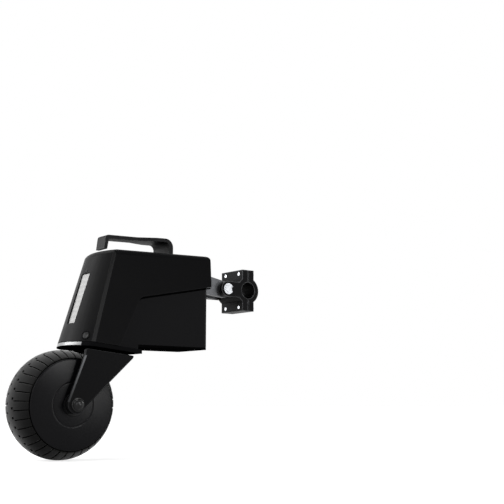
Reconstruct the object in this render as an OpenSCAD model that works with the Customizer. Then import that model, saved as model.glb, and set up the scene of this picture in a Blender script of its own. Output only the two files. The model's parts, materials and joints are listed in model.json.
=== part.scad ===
// Rear add-on drive unit for a manual chair: a docking clamp on the axle tube, a moulded body with
// the battery, and a swivelling fork that holds a fat hub-motor wheel.
// Origin: centre of the clamped axle tube. +X forward, +Y to the left, +Z up. Millimetres.
// Lengths that end in _h are heights above the floor, and those that end in _back lie behind the tube.

/* [Axle clamp] */
// Outside diameter of the axle tube that the clamp holds
tube_d = 30; // [25:0.5:32]
// Height of the axle tube above the floor
tube_h = 294; // [290:1:298]
// Wall of the clamp around the tube
clamp_wall = 9; // [7:0.5:11]
// Width of the clamp along the tube
clamp_w = 64; // [60:1:70]
// Slit between the two clamp halves
clamp_slit = 2; // [1:0.5:3]
// Distance of the docking shaft behind the tube
dock_back = 46; // [44:0.5:50]
// Diameter of the docking shaft
dock_d = 14; // [12:0.5:15]

/* [Wheel] */
// Outside diameter of the tyre
wheel_d = 174; // [168:1:176]
// Distance of the wheel's axle behind the swivel axis
trail = 66; // [62:1:70]
// Radius of the tyre's crown, across the tread
crown_r = 63; // [58:1:75]
// Half width of the tread, to the shoulder groove
tread_half = 39; // [37:0.5:40]
// Half width of the wheel over its domed covers
wheel_half = 45.5; // [44.5:0.25:46]
// Number of lateral grooves on each side of the tread
tread_grooves = 32; // [24:1:40]
// Width of a lateral groove
groove_w = 1.4; // [1:0.1:2.5]
// Diameter of the motor drum, under the tyre
drum_d = 116; // [110:1:120]
// Wall of the motor drum
drum_wall = 6; // [5:0.5:8]
// Number of stator teeth
stator_teeth = 18; // [12:3:24]
// Number of rotor magnets
magnet_count = 20; // [16:2:24]

/* [Fork] */
// Distance of the swivel axis behind the tube, where it leaves the body
swivel_back = 290; // [288:1:293]
// Gap between the tyre and the body's underside, above the axle
under_gap = 7; // [6:0.5:9]
// Lean of the swivel axis, top forward, in degrees
swivel_lean = 6; // [5:0.5:7]
// Gap between the body's underside and the fork
fork_gap = 5; // [4:0.25:6]
// Thickness of a fork leg
leg_t = 6; // [5:0.5:6.5]
// Half width over the fork legs
fork_half = 58; // [57:0.5:60]
// Reach of the fork's nose ahead of the swivel axis
fork_nose = 38; // [34:1:42]
// Reach of the fork's heel behind the swivel axis
fork_heel = 53; // [50:1:56]
// Diameter of the swivel stem
stem_d = 20; // [18:1:22]
// Diameter of the wheel axle
axle_d = 14; // [12:1:15]

/* [Body] */
// Half width of the body at its underside
body_half_low = 61; // [60:0.5:64]
// Half width of the body at its top
body_half_high = 49; // [47:0.5:52]
// Height of the body, from its underside at the swivel to its top edge at the rear
body_tall = 166; // [164:1:168]
// Rise of the top edge from the rear to the front
top_rise = 6; // [4:1:8]
// Gap from the docking shaft to the body's front face
front_gap = 52; // [50:1:56]
// Lean of the curved rear face, top forward, in degrees
rear_lean = 17; // [15:0.5:18]
// Reach of the rear face's lower end behind the swivel axis, on the middle line
rear_reach = 63.5; // [62:0.5:66]
// Radius of the rear face at its lower end
rear_r_low = 100; // [94:1:110]
// Radius of the rear face at its upper end
rear_r_high = 90; // [86:1:110]
// Wall of the moulded shells
wall = 3; // [2.5:0.25:3.5]
// Width of the bevel between the rear face and each side
crease_w = 7.5; // [5:0.5:9]

/* [Battery case] */
// Half width of the battery case
case_half = 49; // [48.5:0.1:49.1]
// Rise of the battery case's underside above the body's underside at the swivel
case_rise = 7; // [6:0.5:10]
// Diameter of a battery cell
cell_d = 18; // [17:0.5:18.5]
// Length of a battery cell
cell_len = 65; // [60:1:66]

/* [Release lever] */
// Height of the top of the lever's strap above the body, at its rear end
strap_lift = 29; // [27:1:31]
// Thickness of the strap
strap_t = 6; // [5:0.5:7]
// Half width of the strap at its pull lip
strap_half = 14; // [12:0.5:16]
// Half width of the strap at its foot
foot_half = 26; // [24:0.5:28]
// Reach of the pull lip behind the lever's pivot
lever_len = 122; // [118:1:124]
// Distance of the lever's pivot behind the body's front face
lever_in = 72; // [70:0.5:74]
// Depth of the lever's pivot under the body's top edge at the front
lever_sink = 15; // [14:0.5:16]

/* [Status strip and button] */
// Length of the status strip along the rear face
strip_len = 88; // [80:1:90]
// Width of the status strip at its upper end
strip_w_high = 27; // [24:0.5:28]
// Width of the status strip at its lower end
strip_w_low = 25; // [22:0.5:28]
// Rise of the status strip's lower end above the rear face's lower end
strip_rise = 33; // [31:1:36]
// Depth of the lens under the rear face at its lower end
lens_sink_low = 3; // [1:0.5:4]
// Depth of the lens under the rear face at its upper end
lens_sink_high = 9; // [4:0.5:10]
// Diameter of the power button
button_d = 11; // [9:0.5:13]
// Offset of the button from the middle line
button_side = 45; // [42:0.5:47]
// Rise of the button above the rear face's lower end
button_rise = 11; // [9:1:14]

/* [Hidden] */
$fn = 64;

// Overrun of every cut, past the face that it opens
over = 1;
// Clearance of a shaft in its running bore, on the radius
run_clear = 0.05;
// Clearance between neighbours that don't run on each other
part_gap = 0.4;
// Reach of a half space that trims a form
reach = 900;

// Rounded outline: a polygon whose corners become arcs. Each corner has its own radius.
arc_steps = 7;
function unit(v) = v / norm(v);
function corner_in(p, i) = unit(p[(i + len(p) - 1) % len(p)] - p[i]);
function corner_out(p, i) = unit(p[(i + 1) % len(p)] - p[i]);
function corner_half(p, i) = acos(corner_in(p, i) * corner_out(p, i)) / 2;
function corner_run(p, r, i) = r[i] / tan(corner_half(p, i));
function corner_start(p, r, i) = p[i] + corner_in(p, i) * corner_run(p, r, i);
function corner_end(p, r, i) = p[i] + corner_out(p, i) * corner_run(p, r, i);
function corner_mid(p, r, i) =
    p[i] + unit(corner_in(p, i) + corner_out(p, i)) * r[i] / sin(corner_half(p, i));
function corner_turn(a) = a > 180 ? a - 360 : a < -180 ? a + 360 : a;
function heading(v) = atan2(v[1], v[0]);
function facing(a) = [cos(a), sin(a)];
function corner_arc(p, r, i) =
    let (mid = corner_mid(p, r, i), from = heading(corner_start(p, r, i) - mid),
         turn = corner_turn(heading(corner_end(p, r, i) - mid) - from))
    [for (k = [0 : arc_steps]) mid + r[i] * facing(from + turn * k / arc_steps)];
function round_points(p, r) = [for (i = [0 : len(p) - 1]) each r[i] > 0 ? corner_arc(p, r, i) : [p[i]]];

// A radius of zero leaves its corner sharp
module rounded(p, r) {
    polygon(round_points(p, r));
}

// A side outline, drawn in X and Z, with its width along Y
module across(w) {
    rotate([90, 0, 0]) linear_extrude(w, center = true) children();
}

// A round bar along Y, centred on the middle plane
module bar_y(d, w) {
    rotate([90, 0, 0]) cylinder(d = d, h = w, center = true);
}

// A round bar along Y between two offsets from the middle plane
module bar_span(d, from, to) {
    translate([0, to, 0]) rotate([90, 0, 0]) cylinder(d = d, h = to - from);
}

module both_sides() {
    children();
    mirror([0, 1, 0]) children();
}

// Height above the floor, turned into Z
function up(h) = h - tube_h;

// Heights and distances of the body, each from the piece that it belongs to
wheel_back = swivel_back + trail;
swivel_h = wheel_d + under_gap - trail * tan(swivel_lean);
top_rear_h = swivel_h + body_tall;
top_front_h = top_rear_h + top_rise;
front_back = dock_back + front_gap;
rear_back = swivel_back + rear_reach;
case_h = swivel_h + case_rise;
strap_h = top_rear_h + strap_lift;
lever_back = front_back + lever_in;
lever_h = top_front_h - lever_sink;
lip_back = lever_back + lever_len;

// Colours, as they show on the object
black_plastic = [0.09, 0.09, 0.095];
grey_plastic = [0.13, 0.13, 0.135];
black_metal = [0.07, 0.07, 0.075];
bare_metal = [0.62, 0.63, 0.65];
steel = [0.48, 0.49, 0.5];
rubber = [0.06, 0.06, 0.06];
light_lens = [0.8, 0.8, 0.8];
board_green = [0.07, 0.28, 0.15];
copper = [0.72, 0.4, 0.2];

// Axle clamp
clamp_r = tube_d / 2 + clamp_wall;
lug_h = 14;
lug_t = 12;
lug_top = clamp_r + lug_h;
screw_d = 6;
screw_head_d = 10;
screw_head_t = 6;
screw_hex_d = 5.8;
screw_hex_depth = 3;
screw_clear = 0.3;
screw_z = clamp_r + lug_h / 2;
screw_y = clamp_w / 2 - lug_t;
ear_t = 8;
ear_wall = 7;
ear_r = dock_d / 2 + ear_wall;
ear_in = clamp_w / 2 - ear_t;
clip_t = 1.6;
clip_rim = 3;
clip_d = dock_d + 2 * clip_rim;
shaft_end = 1;
dock_len = clamp_w + 2 * (clip_t + shaft_end);
clip_y = clamp_w / 2 + part_gap / 2;

module clamp_outline() {
    circle(clamp_r);
    square([2 * lug_t + clamp_slit, 2 * lug_top], center = true);
}

module clamp_ring() {
    difference() {
        across(clamp_w) clamp_outline();
        bar_y(tube_d, clamp_w + 2 * over);
        for (y = [-screw_y, screw_y], z = [-screw_z, screw_z])
            translate([0, y, z]) rotate([0, 90, 0])
                cylinder(d = screw_d + 2 * screw_clear, h = reach, center = true);
    }
}

module clamp_ears() {
    both_sides() difference() {
        union() {
            translate([-dock_back, 0, 0]) bar_span(2 * ear_r, ear_in, clamp_w / 2);
            translate([-dock_back, ear_in, -ear_r])
                cube([dock_back - clamp_r + clamp_wall / 2, ear_t, 2 * ear_r]);
        }
        translate([-dock_back, 0, 0]) bar_y(dock_d + 2 * run_clear, clamp_w + 2 * over);
    }
}

module clamp_rear_half() {
    color(black_metal) {
        intersection() {
            clamp_ring();
            translate([-reach - clamp_slit / 2, -reach / 2, -reach / 2]) cube(reach);
        }
        clamp_ears();
    }
}

module clamp_front_cap() {
    color(black_metal) intersection() {
        clamp_ring();
        translate([clamp_slit / 2, -reach / 2, -reach / 2]) cube(reach);
    }
}

module cap_screw(shank) {
    difference() {
        union() {
            cylinder(d = screw_head_d, h = screw_head_t);
            translate([0, 0, -shank]) cylinder(d = screw_d, h = shank + over);
        }
        translate([0, 0, screw_head_t - screw_hex_depth])
            cylinder(d = screw_hex_d, h = screw_hex_depth + over, $fn = 6);
    }
}

module clamp_screws() {
    color(steel)
        for (y = [-screw_y, screw_y], z = [-screw_z, screw_z])
            translate([lug_t + clamp_slit / 2, y, z]) rotate([0, 90, 0])
                cap_screw(2 * lug_t + clamp_slit);
}

module docking_shaft() {
    color(steel) translate([-dock_back, 0, 0]) difference() {
        bar_y(dock_d, dock_len);
        both_sides() difference() {
            translate([0, clip_y, 0]) bar_span(dock_d + over, 0, clip_t);
            bar_y(dock_d - clip_t, dock_len);
        }
    }
}

module shaft_clips() {
    color(bare_metal) translate([-dock_back, 0, 0]) both_sides() translate([0, clip_y, 0])
        difference() {
            bar_span(clip_d, run_clear, clip_t - run_clear);
            bar_y(dock_d - clip_t + 2 * run_clear, 2 * clip_t);
            translate([0, -over, -dock_d / 4]) cube([clip_d, clip_t + 2 * over, dock_d / 2]);
        }
}

// Frames of the swivel and the wheel
swivel_at = [-swivel_back, 0, up(swivel_h)];
wheel_r = wheel_d / 2;
wheel_at = [-wheel_back, 0, up(wheel_r)];

module at_swivel() {
    translate(swivel_at) rotate([0, swivel_lean, 0]) children();
}

module at_wheel() {
    translate(wheel_at) children();
}

// Wheel's axle, seen in the leaning frame of the swivel
to_axle = wheel_at - swivel_at;
axle_x = to_axle[0] * cos(swivel_lean) - to_axle[2] * sin(swivel_lean);
axle_z = to_axle[0] * sin(swivel_lean) + to_axle[2] * cos(swivel_lean);

// Body form: a leaning cone makes the curved rear face, a tapered section the sides and top, and a side
// outline the rest. The skin value moves all of them inwards alike.
rear_foot_rise = 11;
rear_foot_h = swivel_h + rear_foot_rise;
strip_h = rear_foot_h + strip_rise;
button_h = rear_foot_h + button_rise;
rear_slant = (top_rear_h - rear_foot_h) / cos(rear_lean);
cone_half = atan((rear_r_high - rear_r_low) / rear_slant);
cone_lean = rear_lean + cone_half;
cone_below = 110;
cone_above = 360;
rear_foot = [-rear_back, 0, up(rear_foot_h)];
rear_skin_gap = 0.3;
base_t = 6.6;
base_seam = 0.7;
base_front = 47;
base_front_back = swivel_back - base_front;
top_round = 11;
cap_round = 18;
cap_ease = 6;
cap_gap = 0.03;
cap_deep = 320;
// Inward step of the cap's upper edge when its side moves in by a skin and its top comes down by as much
function cap_edge(skin, lean) = skin / cos(lean) - skin * tan(lean);
nose_round = 6;
section_low = 24;
section_low_h = swivel_h - section_low;
step_low_ahead = 6;
step_low_rise = 4;
step_mid_ahead = 47;
step_mid_rise = 89;
step_front_drop = 55;
step_low = [step_low_ahead - swivel_back, up(swivel_h + step_low_rise)];
step_mid = [step_mid_ahead - swivel_back, up(swivel_h + step_mid_rise)];
step_front = [-front_back, up(top_front_h - step_front_drop)];
step_round = 12;

function rear_x(h) = -rear_back + (h - rear_foot_h) * tan(rear_lean);
top_slope = atan((top_front_h - top_rear_h) / (-front_back - rear_x(top_rear_h)));
function side_half(h) = body_half_low
    + (body_half_high - body_half_low) * (h - swivel_h) / (top_front_h - swivel_h);
// Underside of the body, which is square to the swivel axis, at a distance above it
function under_z(x, rise) = up(swivel_h) - (x + swivel_back) * tan(swivel_lean) + rise / cos(swivel_lean);

module rear_cone(skin) {
    translate(rear_foot) rotate([0, cone_lean, 0])
        union() {
            translate([rear_r_low, 0, -cone_below * cos(cone_half)])
                cylinder(
                    r1 = rear_r_low - cone_below * sin(cone_half) - skin / cos(cone_half),
                    r2 = rear_r_low + cone_above * sin(cone_half) - skin / cos(cone_half),
                    h = (cone_below + cone_above) * cos(cone_half), $fn = 96);
            translate([rear_r_low, -reach / 2, -reach]) cube([reach, reach, 2 * reach]);
        }
}

// Round cap over the rear face: its fillet rolls from the rear face into the top
module rear_cap(skin) {
    top_r = rear_radius(top_rear_h) + cap_ease;
    side_lean = rear_lean + top_slope;
    translate([rear_x(top_rear_h), 0, up(top_rear_h)]) rotate([0, -top_slope, 0]) translate([top_r, 0, 0])
        union() {
            rotate_extrude($fn = 128) rounded(
                [[0, cap_gap - skin], [top_r + cap_gap - cap_edge(skin, side_lean), cap_gap - skin],
                 [top_r + cap_deep * tan(side_lean) + cap_gap - skin / cos(side_lean), -cap_deep],
                 [0, -cap_deep]],
                [0, cap_round - skin, 0, 0]);
            translate([0, -reach / 2, -cap_deep]) cube([reach, reach, cap_deep + cap_gap - skin]);
        }
}

module body_section(skin) {
    low = side_half(section_low_h) - skin;
    high = side_half(top_front_h) - skin;
    translate([-front_back, 0, 0]) rotate([0, -top_slope, 0]) rotate([90, 0, 90])
        linear_extrude(reach, center = true)
            rounded(
                [[-low, up(section_low_h)], [low, up(section_low_h)],
                 [high, up(top_front_h) + rear_skin_gap - skin],
                 [-high, up(top_front_h) + rear_skin_gap - skin]],
                [0, 0, top_round - skin, top_round - skin]);
}

// Two planes cut the crease between the rear face and the sides into a flat bevel
crease_drop = 9;
crease_high_h = top_rear_h - crease_drop;
crease_facing = [-0.44, 0.9, 0];
crease_depth_share = 0.24;
function crease_at(h) = [rear_x(h) + rear_sag(side_half(h), h), side_half(h), up(h)];
crease_low = crease_at(rear_foot_h);
crease_high = crease_at(crease_high_h);
crease_dir = unit(crease_high - crease_low);
crease_n = unit(crease_facing - crease_dir * (crease_facing * crease_dir));

module crease_cut(skin) {
    both_sides()
        translate(crease_low - crease_n * (crease_w * crease_depth_share + skin))
            rotate([0, acos(crease_n[2]), atan2(crease_n[1], crease_n[0])])
                translate([-reach / 2, -reach / 2, 0]) cube(reach);
}

module body_form(skin, side_points, side_rounds) {
    difference() {
        intersection() {
            across(reach) rounded(side_points, side_rounds);
            body_section(skin);
            rear_cone(skin);
            rear_cap(skin);
        }
        crease_cut(skin);
    }
}

// Side outline of the outer shell, from its foot round by the front to the rear
shell_tail = rear_x(swivel_h) - 4 * wall;
shell_rise = base_t + base_seam;
shell_points = [
    [shell_tail, under_z(shell_tail, shell_rise)],
    [step_low[0], under_z(step_low[0], shell_rise)],
    step_mid,
    step_front,
    [-front_back, up(top_front_h)],
    [rear_x(top_rear_h) - rear_skin_gap, up(top_rear_h)],
];
// Inside of the shell, open below, with a return wall along the step over the battery case
step_open = 30;
step_wall = wall + over;
shell_room_points = [
    [shell_tail, under_z(shell_tail, -step_open)],
    [step_low[0] - wall, under_z(step_low[0], -step_open)],
    [step_low[0] - wall, step_low[1]],
    [step_mid[0] - wall, step_mid[1] + wall],
    [-front_back - wall, step_front[1] + wall],
    [-front_back - wall, up(top_front_h) - wall],
    [rear_x(top_rear_h - wall) + wall / cos(rear_lean) - rear_skin_gap, up(top_rear_h) - wall],
];
spine_in = 12;
spine_t = 8;
spine_half = spine_in + spine_t;
spine_through = 2 * (spine_half + over);
spine_top_sink = 20;
spine_top_h = top_rear_h - spine_top_sink;
spine_low_drop = 10;
spine_low_h = tube_h - spine_low_drop;
foot_slot_front = 15.5;
foot_slot_rear = 10;

module shell_form() {
    body_form(0, shell_points, [0, 0, step_round, 0, nose_round, 0]);
}

module shell_room() {
    body_form(wall, shell_room_points, [0, 0, 0, 0, 0, nose_round - wall, 0]);
}

// Opening in the return wall that the battery case passes through
module case_opening() {
    across(2 * (case_half + part_gap)) polygon(
        [[step_low[0] - step_wall - over, under_z(step_low[0], -step_open)],
         [step_low[0] + step_open, under_z(step_low[0], -step_open)],
         [step_mid[0] + step_open, step_mid[1] - step_open],
         [-front_back - wall, step_front[1] - step_open],
         [-front_back - wall, step_front[1] + step_wall],
         [step_mid[0] - step_wall, step_mid[1] + step_wall],
         [step_low[0] - step_wall - over, step_low[1]]]);
}

// Frame on the rear face's middle line at a height: X inwards, Z up the face
module at_rear(h) {
    translate([rear_x(h), 0, up(h)]) rotate([0, rear_lean, 0]) children();
}

// Frame on the rear face at the button
function rear_radius(h) = (rear_r_low
    + (rear_r_high - rear_r_low) * (h - rear_foot_h) / (top_rear_h - rear_foot_h))
    * cos(rear_lean) / cos(cone_half);
function rear_sag(y, h) = rear_radius(h) - sqrt(pow(rear_radius(h), 2) - pow(y, 2));
button_turn = asin(button_side / rear_radius(button_h));

module at_button() {
    translate([rear_x(button_h) + rear_sag(button_side, button_h), -button_side, up(button_h)])
        rotate([0, 0, button_turn]) rotate([0, rear_lean, 0]) rotate([0, 90, 0]) children();
}

// Outline of the status strip, grown by a margin, through a depth under the rear face
strip_round = 2;
strip_wall = 2;
strip_deep = 16;
lens_tilt = atan((lens_sink_high - lens_sink_low) / strip_len);
module strip_slab(margin, from, to) {
    low = strip_w_low / 2 + margin;
    high = strip_w_high / 2 + margin;
    at_rear(strip_h) translate([from, 0, 0]) rotate([90, 0, 90]) linear_extrude(to - from)
        rounded(
            [[-low, -margin], [low, -margin], [high, strip_len + margin], [-high, strip_len + margin]],
            [strip_round + margin, strip_round + margin, strip_round + margin, strip_round + margin]);
}

bezel_w = 2;
bezel_d = button_d + 2 * bezel_w;
bezel_proud = 0.5;
bezel_depth = 5;
strip_gap = 0.15;

module outer_shell() {
    color(black_plastic) difference() {
        union() {
            difference() {
                shell_form();
                shell_room();
                case_opening();
            }
            intersection() {
                shell_form();
                strip_slab(strip_wall, 0, strip_deep);
            }
        }
        strip_slab(strip_gap, -strip_deep, 2 * strip_deep);
        at_button() cylinder(d = bezel_d + 2 * strip_gap, h = 4 * wall, center = true);
        translate([-lever_back - foot_slot_rear, -foot_half - part_gap, up(top_rear_h) - 2 * top_round])
            cube([foot_slot_front + foot_slot_rear, 2 * (foot_half + part_gap), reach]);
        translate([-front_back - 2 * wall, -spine_half - part_gap, up(spine_low_h) - step_open])
            cube([4 * wall, 2 * (spine_half + part_gap), spine_top_h - spine_low_h + step_open + wall]);
    }
}

// Base plate, which closes the body's underside round the swivel, and the light trim in its rear edge
trim_half = 42;
trim_inset = 0.5;
base_hole_d = 36;
base_points = [
    [shell_tail, under_z(shell_tail, -over)],
    [-base_front_back, under_z(-base_front_back, -over)],
    [-base_front_back, under_z(shell_tail, base_t + over)],
    [shell_tail, under_z(shell_tail, base_t + over)],
];
flange_d = 72;
flange_t = 6;
base_screw_d = 4;
base_screw_head_d = 7.5;
base_screw_head_t = 3;
base_screw_r = 30;

module base_slab(low, high) {
    intersection() {
        body_form(0, base_points, [0, 0, 0, 0]);
        at_swivel() translate([-reach / 2, -reach / 2, low]) cube([reach, reach, high - low]);
    }
}

module trim_band(margin) {
    intersection() {
        base_slab(trim_inset - margin, base_t - trim_inset + margin);
        translate([-reach - swivel_back, -trim_half - margin, -reach])
            cube([reach, 2 * (trim_half + margin), 2 * reach]);
    }
}

module base_screw_places() {
    at_swivel() for (a = [45 : 90 : 315]) rotate([0, 0, a]) translate([base_screw_r, 0, 0]) children();
}

module base_plate() {
    color(black_plastic) difference() {
        base_slab(0, base_t);
        difference() {
            trim_band(strip_gap);
            rear_cone(wall + strip_gap);
        }
        at_swivel() cylinder(d = base_hole_d, h = 4 * base_t, center = true);
        base_screw_places() {
            translate([0, 0, -over])
                cylinder(d = base_screw_head_d + part_gap, h = base_screw_head_t + over);
            cylinder(d = base_screw_d + part_gap, h = 2 * base_t);
        }
    }
}

module lower_trim() {
    color(light_lens) difference() {
        trim_band(0);
        rear_cone(wall);
    }
}

module base_screws() {
    color(steel) base_screw_places() difference() {
        union() {
            translate([0, 0, over / 4]) cylinder(d = base_screw_head_d, h = base_screw_head_t - over / 4);
            cylinder(d = base_screw_d, h = base_t + flange_t);
        }
        cylinder(d = base_screw_d / 2, h = base_screw_head_t, $fn = 6, center = true);
    }
}

// Chassis: two side plates that run from the head tube to the docking jaws
bearing_d = 42;
bearing_t = 12;
bearing_lip_d = 36;
head_d = 54;
head_len = 78;
upper_seat = 48;
jaw_wall = 8;
jaw_r = dock_d / 2 + jaw_wall;
tie_d = 12;
tie_ahead = 75;
tie_back = swivel_back - tie_ahead;
tie_rise = 20;
tie_h = spine_low_h + tie_rise;
lever_pin_d = 6;
latch_behind = 38;
latch_back = dock_back + latch_behind;
latch_rise = 9;
latch_h = tube_h + latch_rise;
latch_pin_d = 6;

spine_neck = 58;
spine_tail = [-18, 32];
spine_toe = [22, 28];
spine_knee = 58;
spine_crest = 38;
spine_shoulder = [-12, 84];
spine_neck_back = dock_back + spine_neck;
function from_swivel(p) = [p[0] - swivel_back, up(swivel_h + p[1])];
spine_rounds = [6, 6, 20, 20, 0, 0, 16, 4, 4, 4, 4, 24, 16];

module spine_outline() {
    rounded(
        [from_swivel(spine_tail), from_swivel(spine_toe),
         [spine_knee - swivel_back, up(spine_low_h)], [-spine_neck_back, up(spine_low_h)],
         [-dock_back, -jaw_r], [-dock_back, jaw_r], [-spine_neck_back, up(spine_top_h)],
         [-lever_back + jaw_r, up(spine_top_h)], [-lever_back + jaw_r / 2, up(lever_h) + lever_pin_d],
         [-lever_back - jaw_r / 2, up(lever_h) + lever_pin_d], [-lever_back - jaw_r, up(spine_top_h)],
         [spine_crest - swivel_back, up(spine_top_h)], from_swivel(spine_shoulder)],
        spine_rounds);
    translate([-dock_back, 0]) circle(jaw_r);
}

module chassis() {
    color(bare_metal) difference() {
        union() {
            difference() {
                across(2 * spine_half) spine_outline();
                across(2 * spine_in) translate([-reach + over, -reach / 2]) square(reach);
            }
            translate([-tie_back, 0, up(tie_h)]) bar_y(tie_d, 2 * spine_in + over);
            at_swivel() translate([0, 0, base_t]) {
                cylinder(d = head_d, h = head_len - base_t);
                cylinder(d = flange_d, h = flange_t);
            }
        }
        at_swivel() {
            cylinder(d = bearing_lip_d, h = 2 * head_len);
            translate([0, 0, -over]) cylinder(d = bearing_d + 2 * run_clear, h = base_t + bearing_t + over);
            translate([0, 0, upper_seat]) cylinder(d = bearing_d + 2 * run_clear, h = head_len);
        }
        base_screw_places() cylinder(d = base_screw_d + 2 * run_clear, h = base_t + flange_t + over);
        translate([-dock_back, 0, 0]) {
            bar_y(dock_d + 2 * run_clear, spine_through);
            translate([0, -spine_half - over, -dock_d / 2 - run_clear])
                cube([2 * jaw_r, 2 * (spine_half + over), dock_d + 2 * run_clear]);
        }
        translate([-lever_back, 0, up(lever_h)]) bar_y(lever_pin_d + 2 * run_clear, spine_through);
        translate([-latch_back, 0, up(latch_h)]) bar_y(latch_pin_d + 2 * run_clear, spine_through);
    }
}

module bearing_ring(bore, od, t) {
    groove = (od - bore) / 10;
    difference() {
        cylinder(d = od, h = t);
        translate([0, 0, -over]) cylinder(d = bore, h = t + 2 * over);
        for (z = [-over, t - groove])
            translate([0, 0, z]) difference() {
                cylinder(d = od - 4 * groove, h = groove + over);
                translate([0, 0, -over]) cylinder(d = bore + 4 * groove, h = groove + 3 * over);
            }
    }
}

module lower_bearing() {
    color(steel) at_swivel() translate([0, 0, base_t])
        bearing_ring(stem_d + 2 * run_clear, bearing_d, bearing_t);
}

module upper_bearing() {
    color(steel) at_swivel() translate([0, 0, upper_seat])
        bearing_ring(stem_d + 2 * run_clear, bearing_d, bearing_t);
}

// Slip ring, which carries the motor's current past the swivel
slip_d = 22;
slip_len = 18;
slip_low = 72;
module slip_ring() {
    color(grey_plastic) at_swivel() {
        translate([0, 0, slip_low]) cylinder(d = bearing_d, h = head_len - slip_low);
        translate([0, 0, slip_low]) cylinder(d = slip_d, h = slip_len);
    }
}

lens_t = 3;
board_t = 1.6;

// The strip's outline between two planes that lean into the face with the lens
module strip_layer(from, to) {
    intersection() {
        strip_slab(0, 0, 2 * strip_deep);
        at_rear(strip_h) translate([lens_sink_low, 0, 0]) rotate([0, lens_tilt, 0])
            translate([from, -reach / 2, -reach / 2]) cube([to - from, reach, reach]);
    }
}

module status_lens() {
    color(light_lens) strip_layer(0, lens_t);
}

module led_board() {
    color(board_green) strip_layer(lens_t, lens_t + board_t);
}

module button_bezel() {
    color(black_metal) at_button() translate([0, 0, -bezel_proud]) difference() {
        cylinder(d = bezel_d, h = bezel_depth);
        translate([0, 0, -over]) cylinder(d = button_d + 2 * run_clear, h = bezel_depth + 2 * over);
    }
}

button_proud = 0.2;
button_flange_t = 1.5;
button_dish_r = 30;
button_dish = 0.4;

module power_button() {
    color(grey_plastic) at_button() difference() {
        union() {
            translate([0, 0, -button_proud]) cylinder(d = button_d, h = bezel_depth + button_proud);
            translate([0, 0, bezel_depth - bezel_proud + part_gap])
                cylinder(d = button_d + bezel_w, h = button_flange_t);
        }
        translate([0, 0, -button_proud + button_dish - button_dish_r]) sphere(button_dish_r);
    }
}

// Battery case: open upwards, where it tucks under the shell, and closed below by its floor
case_front = -front_back - wall - part_gap;
case_lap = 6;
floor_t = 3;
floor_gap = 0.2;
floor_bevel = 5;
case_points = [
    [step_low[0] - case_lap, under_z(step_low[0] - case_lap, shell_rise)],
    [-base_front_back, under_z(-base_front_back, shell_rise)],
    [-base_front_back, up(case_h) + floor_t + floor_gap],
    [case_front, up(case_h) + floor_t + floor_gap],
    [case_front, step_front[1] + case_lap],
    [step_mid[0] - case_lap, step_mid[1] + case_lap],
];
case_front_round = 10;

module case_outline(low_half) {
    translate([case_front - reach, 0]) rounded(
        [[0, -low_half], [reach, -low_half], [reach, low_half], [0, low_half]],
        [0, case_front_round, case_front_round, 0]);
}

module battery_case() {
    color(grey_plastic) difference() {
        intersection() {
            across(2 * case_half) rounded(case_points, [0, 0, 0, 0, 0, step_round]);
            translate([0, 0, -reach / 2]) linear_extrude(reach) case_outline(case_half);
        }
        translate([-wall, 0, -reach / 2]) linear_extrude(reach) case_outline(case_half - wall);
        translate([case_front - 4 * wall, -spine_half - part_gap, up(spine_low_h) - part_gap])
            cube([8 * wall, 2 * (spine_half + part_gap), reach]);
    }
}

module case_floor() {
    color(black_plastic) intersection() {
        translate([0, 0, up(case_h)]) linear_extrude(floor_t) case_outline(case_half);
        translate([-base_front_back + part_gap, -reach / 2, -reach / 2]) cube(reach);
        rotate([90, 0, 90]) linear_extrude(2 * reach, center = true)
            polygon([[-case_half + floor_bevel, up(case_h)], [case_half - floor_bevel, up(case_h)],
                     [case_half, up(case_h) + floor_t], [-case_half, up(case_h) + floor_t]]);
    }
}

cell_gap = 1.5;
cell_pitch = cell_d + cell_gap;
cell_columns = 5;
cell_rows = 4;
cell_margin = 4;
cell_z = up(case_h) + floor_t;
holder_t = 4;
holder_clear = 0.1;

module cell_places() {
    for (i = [0 : cell_columns - 1], j = [0 : cell_rows - 1])
        translate([case_front - wall - cell_margin - cell_pitch / 2 - i * cell_pitch,
                   (j - (cell_rows - 1) / 2) * cell_pitch, cell_z]) children();
}

module battery_cells() {
    color(copper) cell_places() {
        cylinder(d = cell_d, h = cell_len - cell_margin / 4);
        cylinder(d = cell_d / 3, h = cell_len);
    }
}

module cell_holders() {
    length = cell_columns * cell_pitch;
    width = cell_rows * cell_pitch;
    color(grey_plastic) difference() {
        for (z = [cell_z, cell_z + cell_len - 3 * holder_t])
            translate([case_front - wall - cell_margin - length, -width / 2, z])
                cube([length, width, holder_t]);
        cell_places() translate([0, 0, -over])
            cylinder(d = cell_d + 2 * holder_clear, h = cell_len + 2 * over);
    }
}

chip_t = 3;
module bms_board() {
    length = (cell_columns - 1) * cell_pitch;
    width = (cell_rows - 1) * cell_pitch;
    color(board_green) translate([case_front - wall - cell_margin - length - cell_pitch / 2, -width / 2,
                                  cell_z + cell_len]) {
        cube([length, width, board_t]);
        for (i = [1 : cell_columns - 1])
            translate([(i - 1 / 2) * cell_pitch - cell_d / 4, width / 4, board_t - over])
                cube([cell_d / 2, width / 2, chip_t + over]);
    }
}

// Controller on the left side plate, and its heat sink on the right one
board_len = 70;
board_w = 40;
board_ahead = 14;
board_rear_back = swivel_back - board_ahead;
board_drop = 14;
board_low_h = spine_low_h - board_drop;
fin_count = 7;
fin_t = 2;
fin_h = 9;

module controller_board() {
    color(board_green) translate([-board_rear_back, spine_half, up(board_low_h)]) {
        cube([board_len, board_t, board_w]);
        for (i = [0 : 3])
            translate([board_len * (i + 1 / 4) / 4, board_t - over, board_w / 4])
                cube([board_len / 8, chip_t + over, board_w / 2]);
    }
}

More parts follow.
